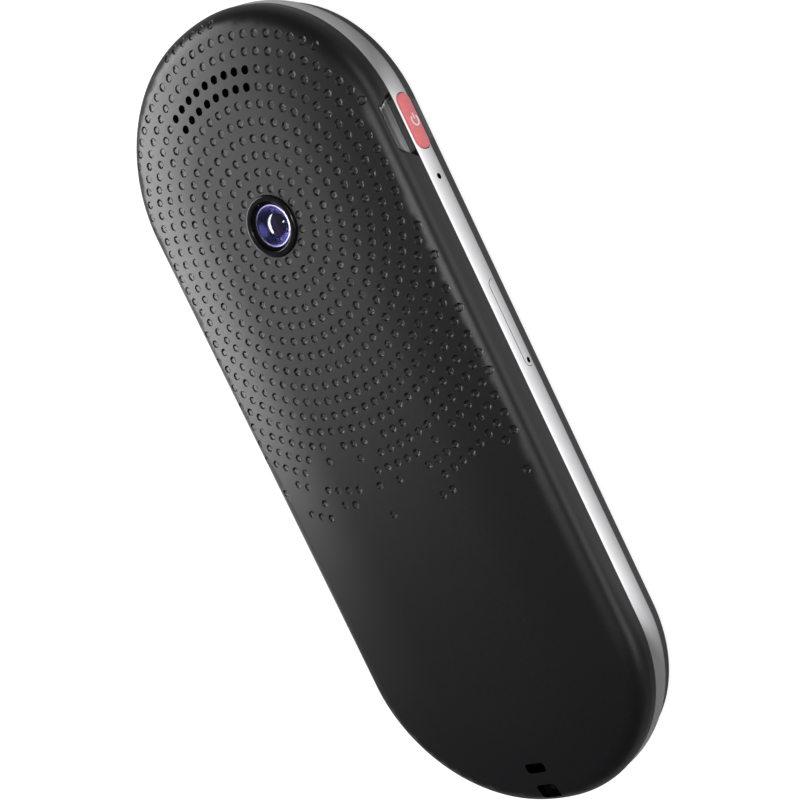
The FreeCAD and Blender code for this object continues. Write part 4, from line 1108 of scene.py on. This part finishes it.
def make_floor_material():
    """A pale floor that keeps its real shadow; in reflections only, a painted white glow along the
    body with a painted contact shadow.
    """
    material = new_material("floor_white", (0.32, 0.32, 0.32), 0.9, specular=0.1)
    shader_of(material).inputs["Emission Color"].default_value = (1, 1, 1, 1)
    path = add_node(material, "ShaderNodeLightPath").outputs
    contact = add_node(material, "ShaderNodeAmbientOcclusion", Distance=PAINTED_SHADOW_REACH)
    # Painted glow strip: in reflections the floor glows white only along the middle of the body,
    # fading towards its ends
    place = add_node(material, "ShaderNodeTexCoord")
    axes = add_node(material, "ShaderNodeSeparateXYZ")
    link(material, place.outputs["Object"], axes.inputs["Vector"])
    along = add_math(material, "ABSOLUTE", axes.outputs["Y"], None)
    painted_glow_strip = add_range(
        material, along, (PAINTED_GLOW_END, PAINTED_GLOW_FULL), (0.0, 1.0), interpolation_type="SMOOTHSTEP"
    )
    # Painted contact shadow: ambient occlusion dims that glow near the body
    painted_contact_shadow = add_math(material, "POWER", contact.outputs["AO"], 2.0)
    painted_glow_shadowed = add_math(material, "MULTIPLY", painted_contact_shadow, painted_glow_strip)
    painted_glow_in_gloss = add_math(material, "MULTIPLY", painted_glow_shadowed, path["Is Glossy Ray"])
    glow = add_math(material, "MULTIPLY_ADD", path["Is Camera Ray"], FLOOR_GLOW, painted_glow_in_gloss)
    link(material, glow, shader_of(material).inputs["Emission Strength"])
    return material


def make_floor():
    mesh = bpy.data.meshes.new("floor")
    corners = [(x * FLOOR_HALF, y * FLOOR_HALF, 0) for x, y in ((-1, -1), (1, -1), (1, 1), (-1, 1))]
    mesh.from_pydata(corners, [], [(0, 1, 2, 3)])
    mesh.materials.append(make_floor_material())
    floor = bpy.data.objects.new("floor", mesh)
    floor.location.z = -FLOOR_DROP
    bpy.context.scene.collection.objects.link(floor)


def make_light(name, place, aim, width, height, power):
    """A soft rectangular lamp, in metres and watts."""
    data = bpy.data.lights.new(name, "AREA")
    data.shape = "RECTANGLE"
    data.size = width
    data.size_y = height
    data.energy = power
    light = bpy.data.objects.new(name, data)
    light.location = place
    direction = Vector(aim) - Vector(place)
    light.rotation_euler = direction.to_track_quat("-Z", "Y").to_euler()
    bpy.context.scene.collection.objects.link(light)


def make_world():
    """Dim light from all round, white where the camera sees it."""
    world = bpy.data.worlds.new("studio")
    world.use_nodes = True
    background = world.node_tree.nodes["Background"]
    background.inputs["Color"].default_value = (1, 1, 1, 1)
    path = add_node(world, "ShaderNodeLightPath").outputs
    strength = add_math(world, "MULTIPLY_ADD", path["Is Camera Ray"], WORLD_SHOWN, WORLD_LIGHT)
    link(world, strength, background.inputs["Strength"])
    bpy.context.scene.world = world
    bpy.context.scene.view_settings.view_transform = "Standard"


def make_stage():
    make_floor()
    make_light("left_softbox", (-0.54, 0.24, 0.33), (0, 0.02, 0), 0.62, 0.24, 5.4)
    make_light("top_strip", (0.23, 0.03, 0.65), (0, 0.03, 0), 0.1, 0.4, 2.0)
    make_light("right_fill", (0.60, 0.0, 0.17), (0, 0, 0.01), 0.9, 0.3, 2.0)
    make_world()


make_camera_view()
make_stage()
pieces = [make_cover(), make_tunnel(), *make_band(), make_rim(), *make_camera(), make_power_symbol()]
dress(make_materials(), pieces)
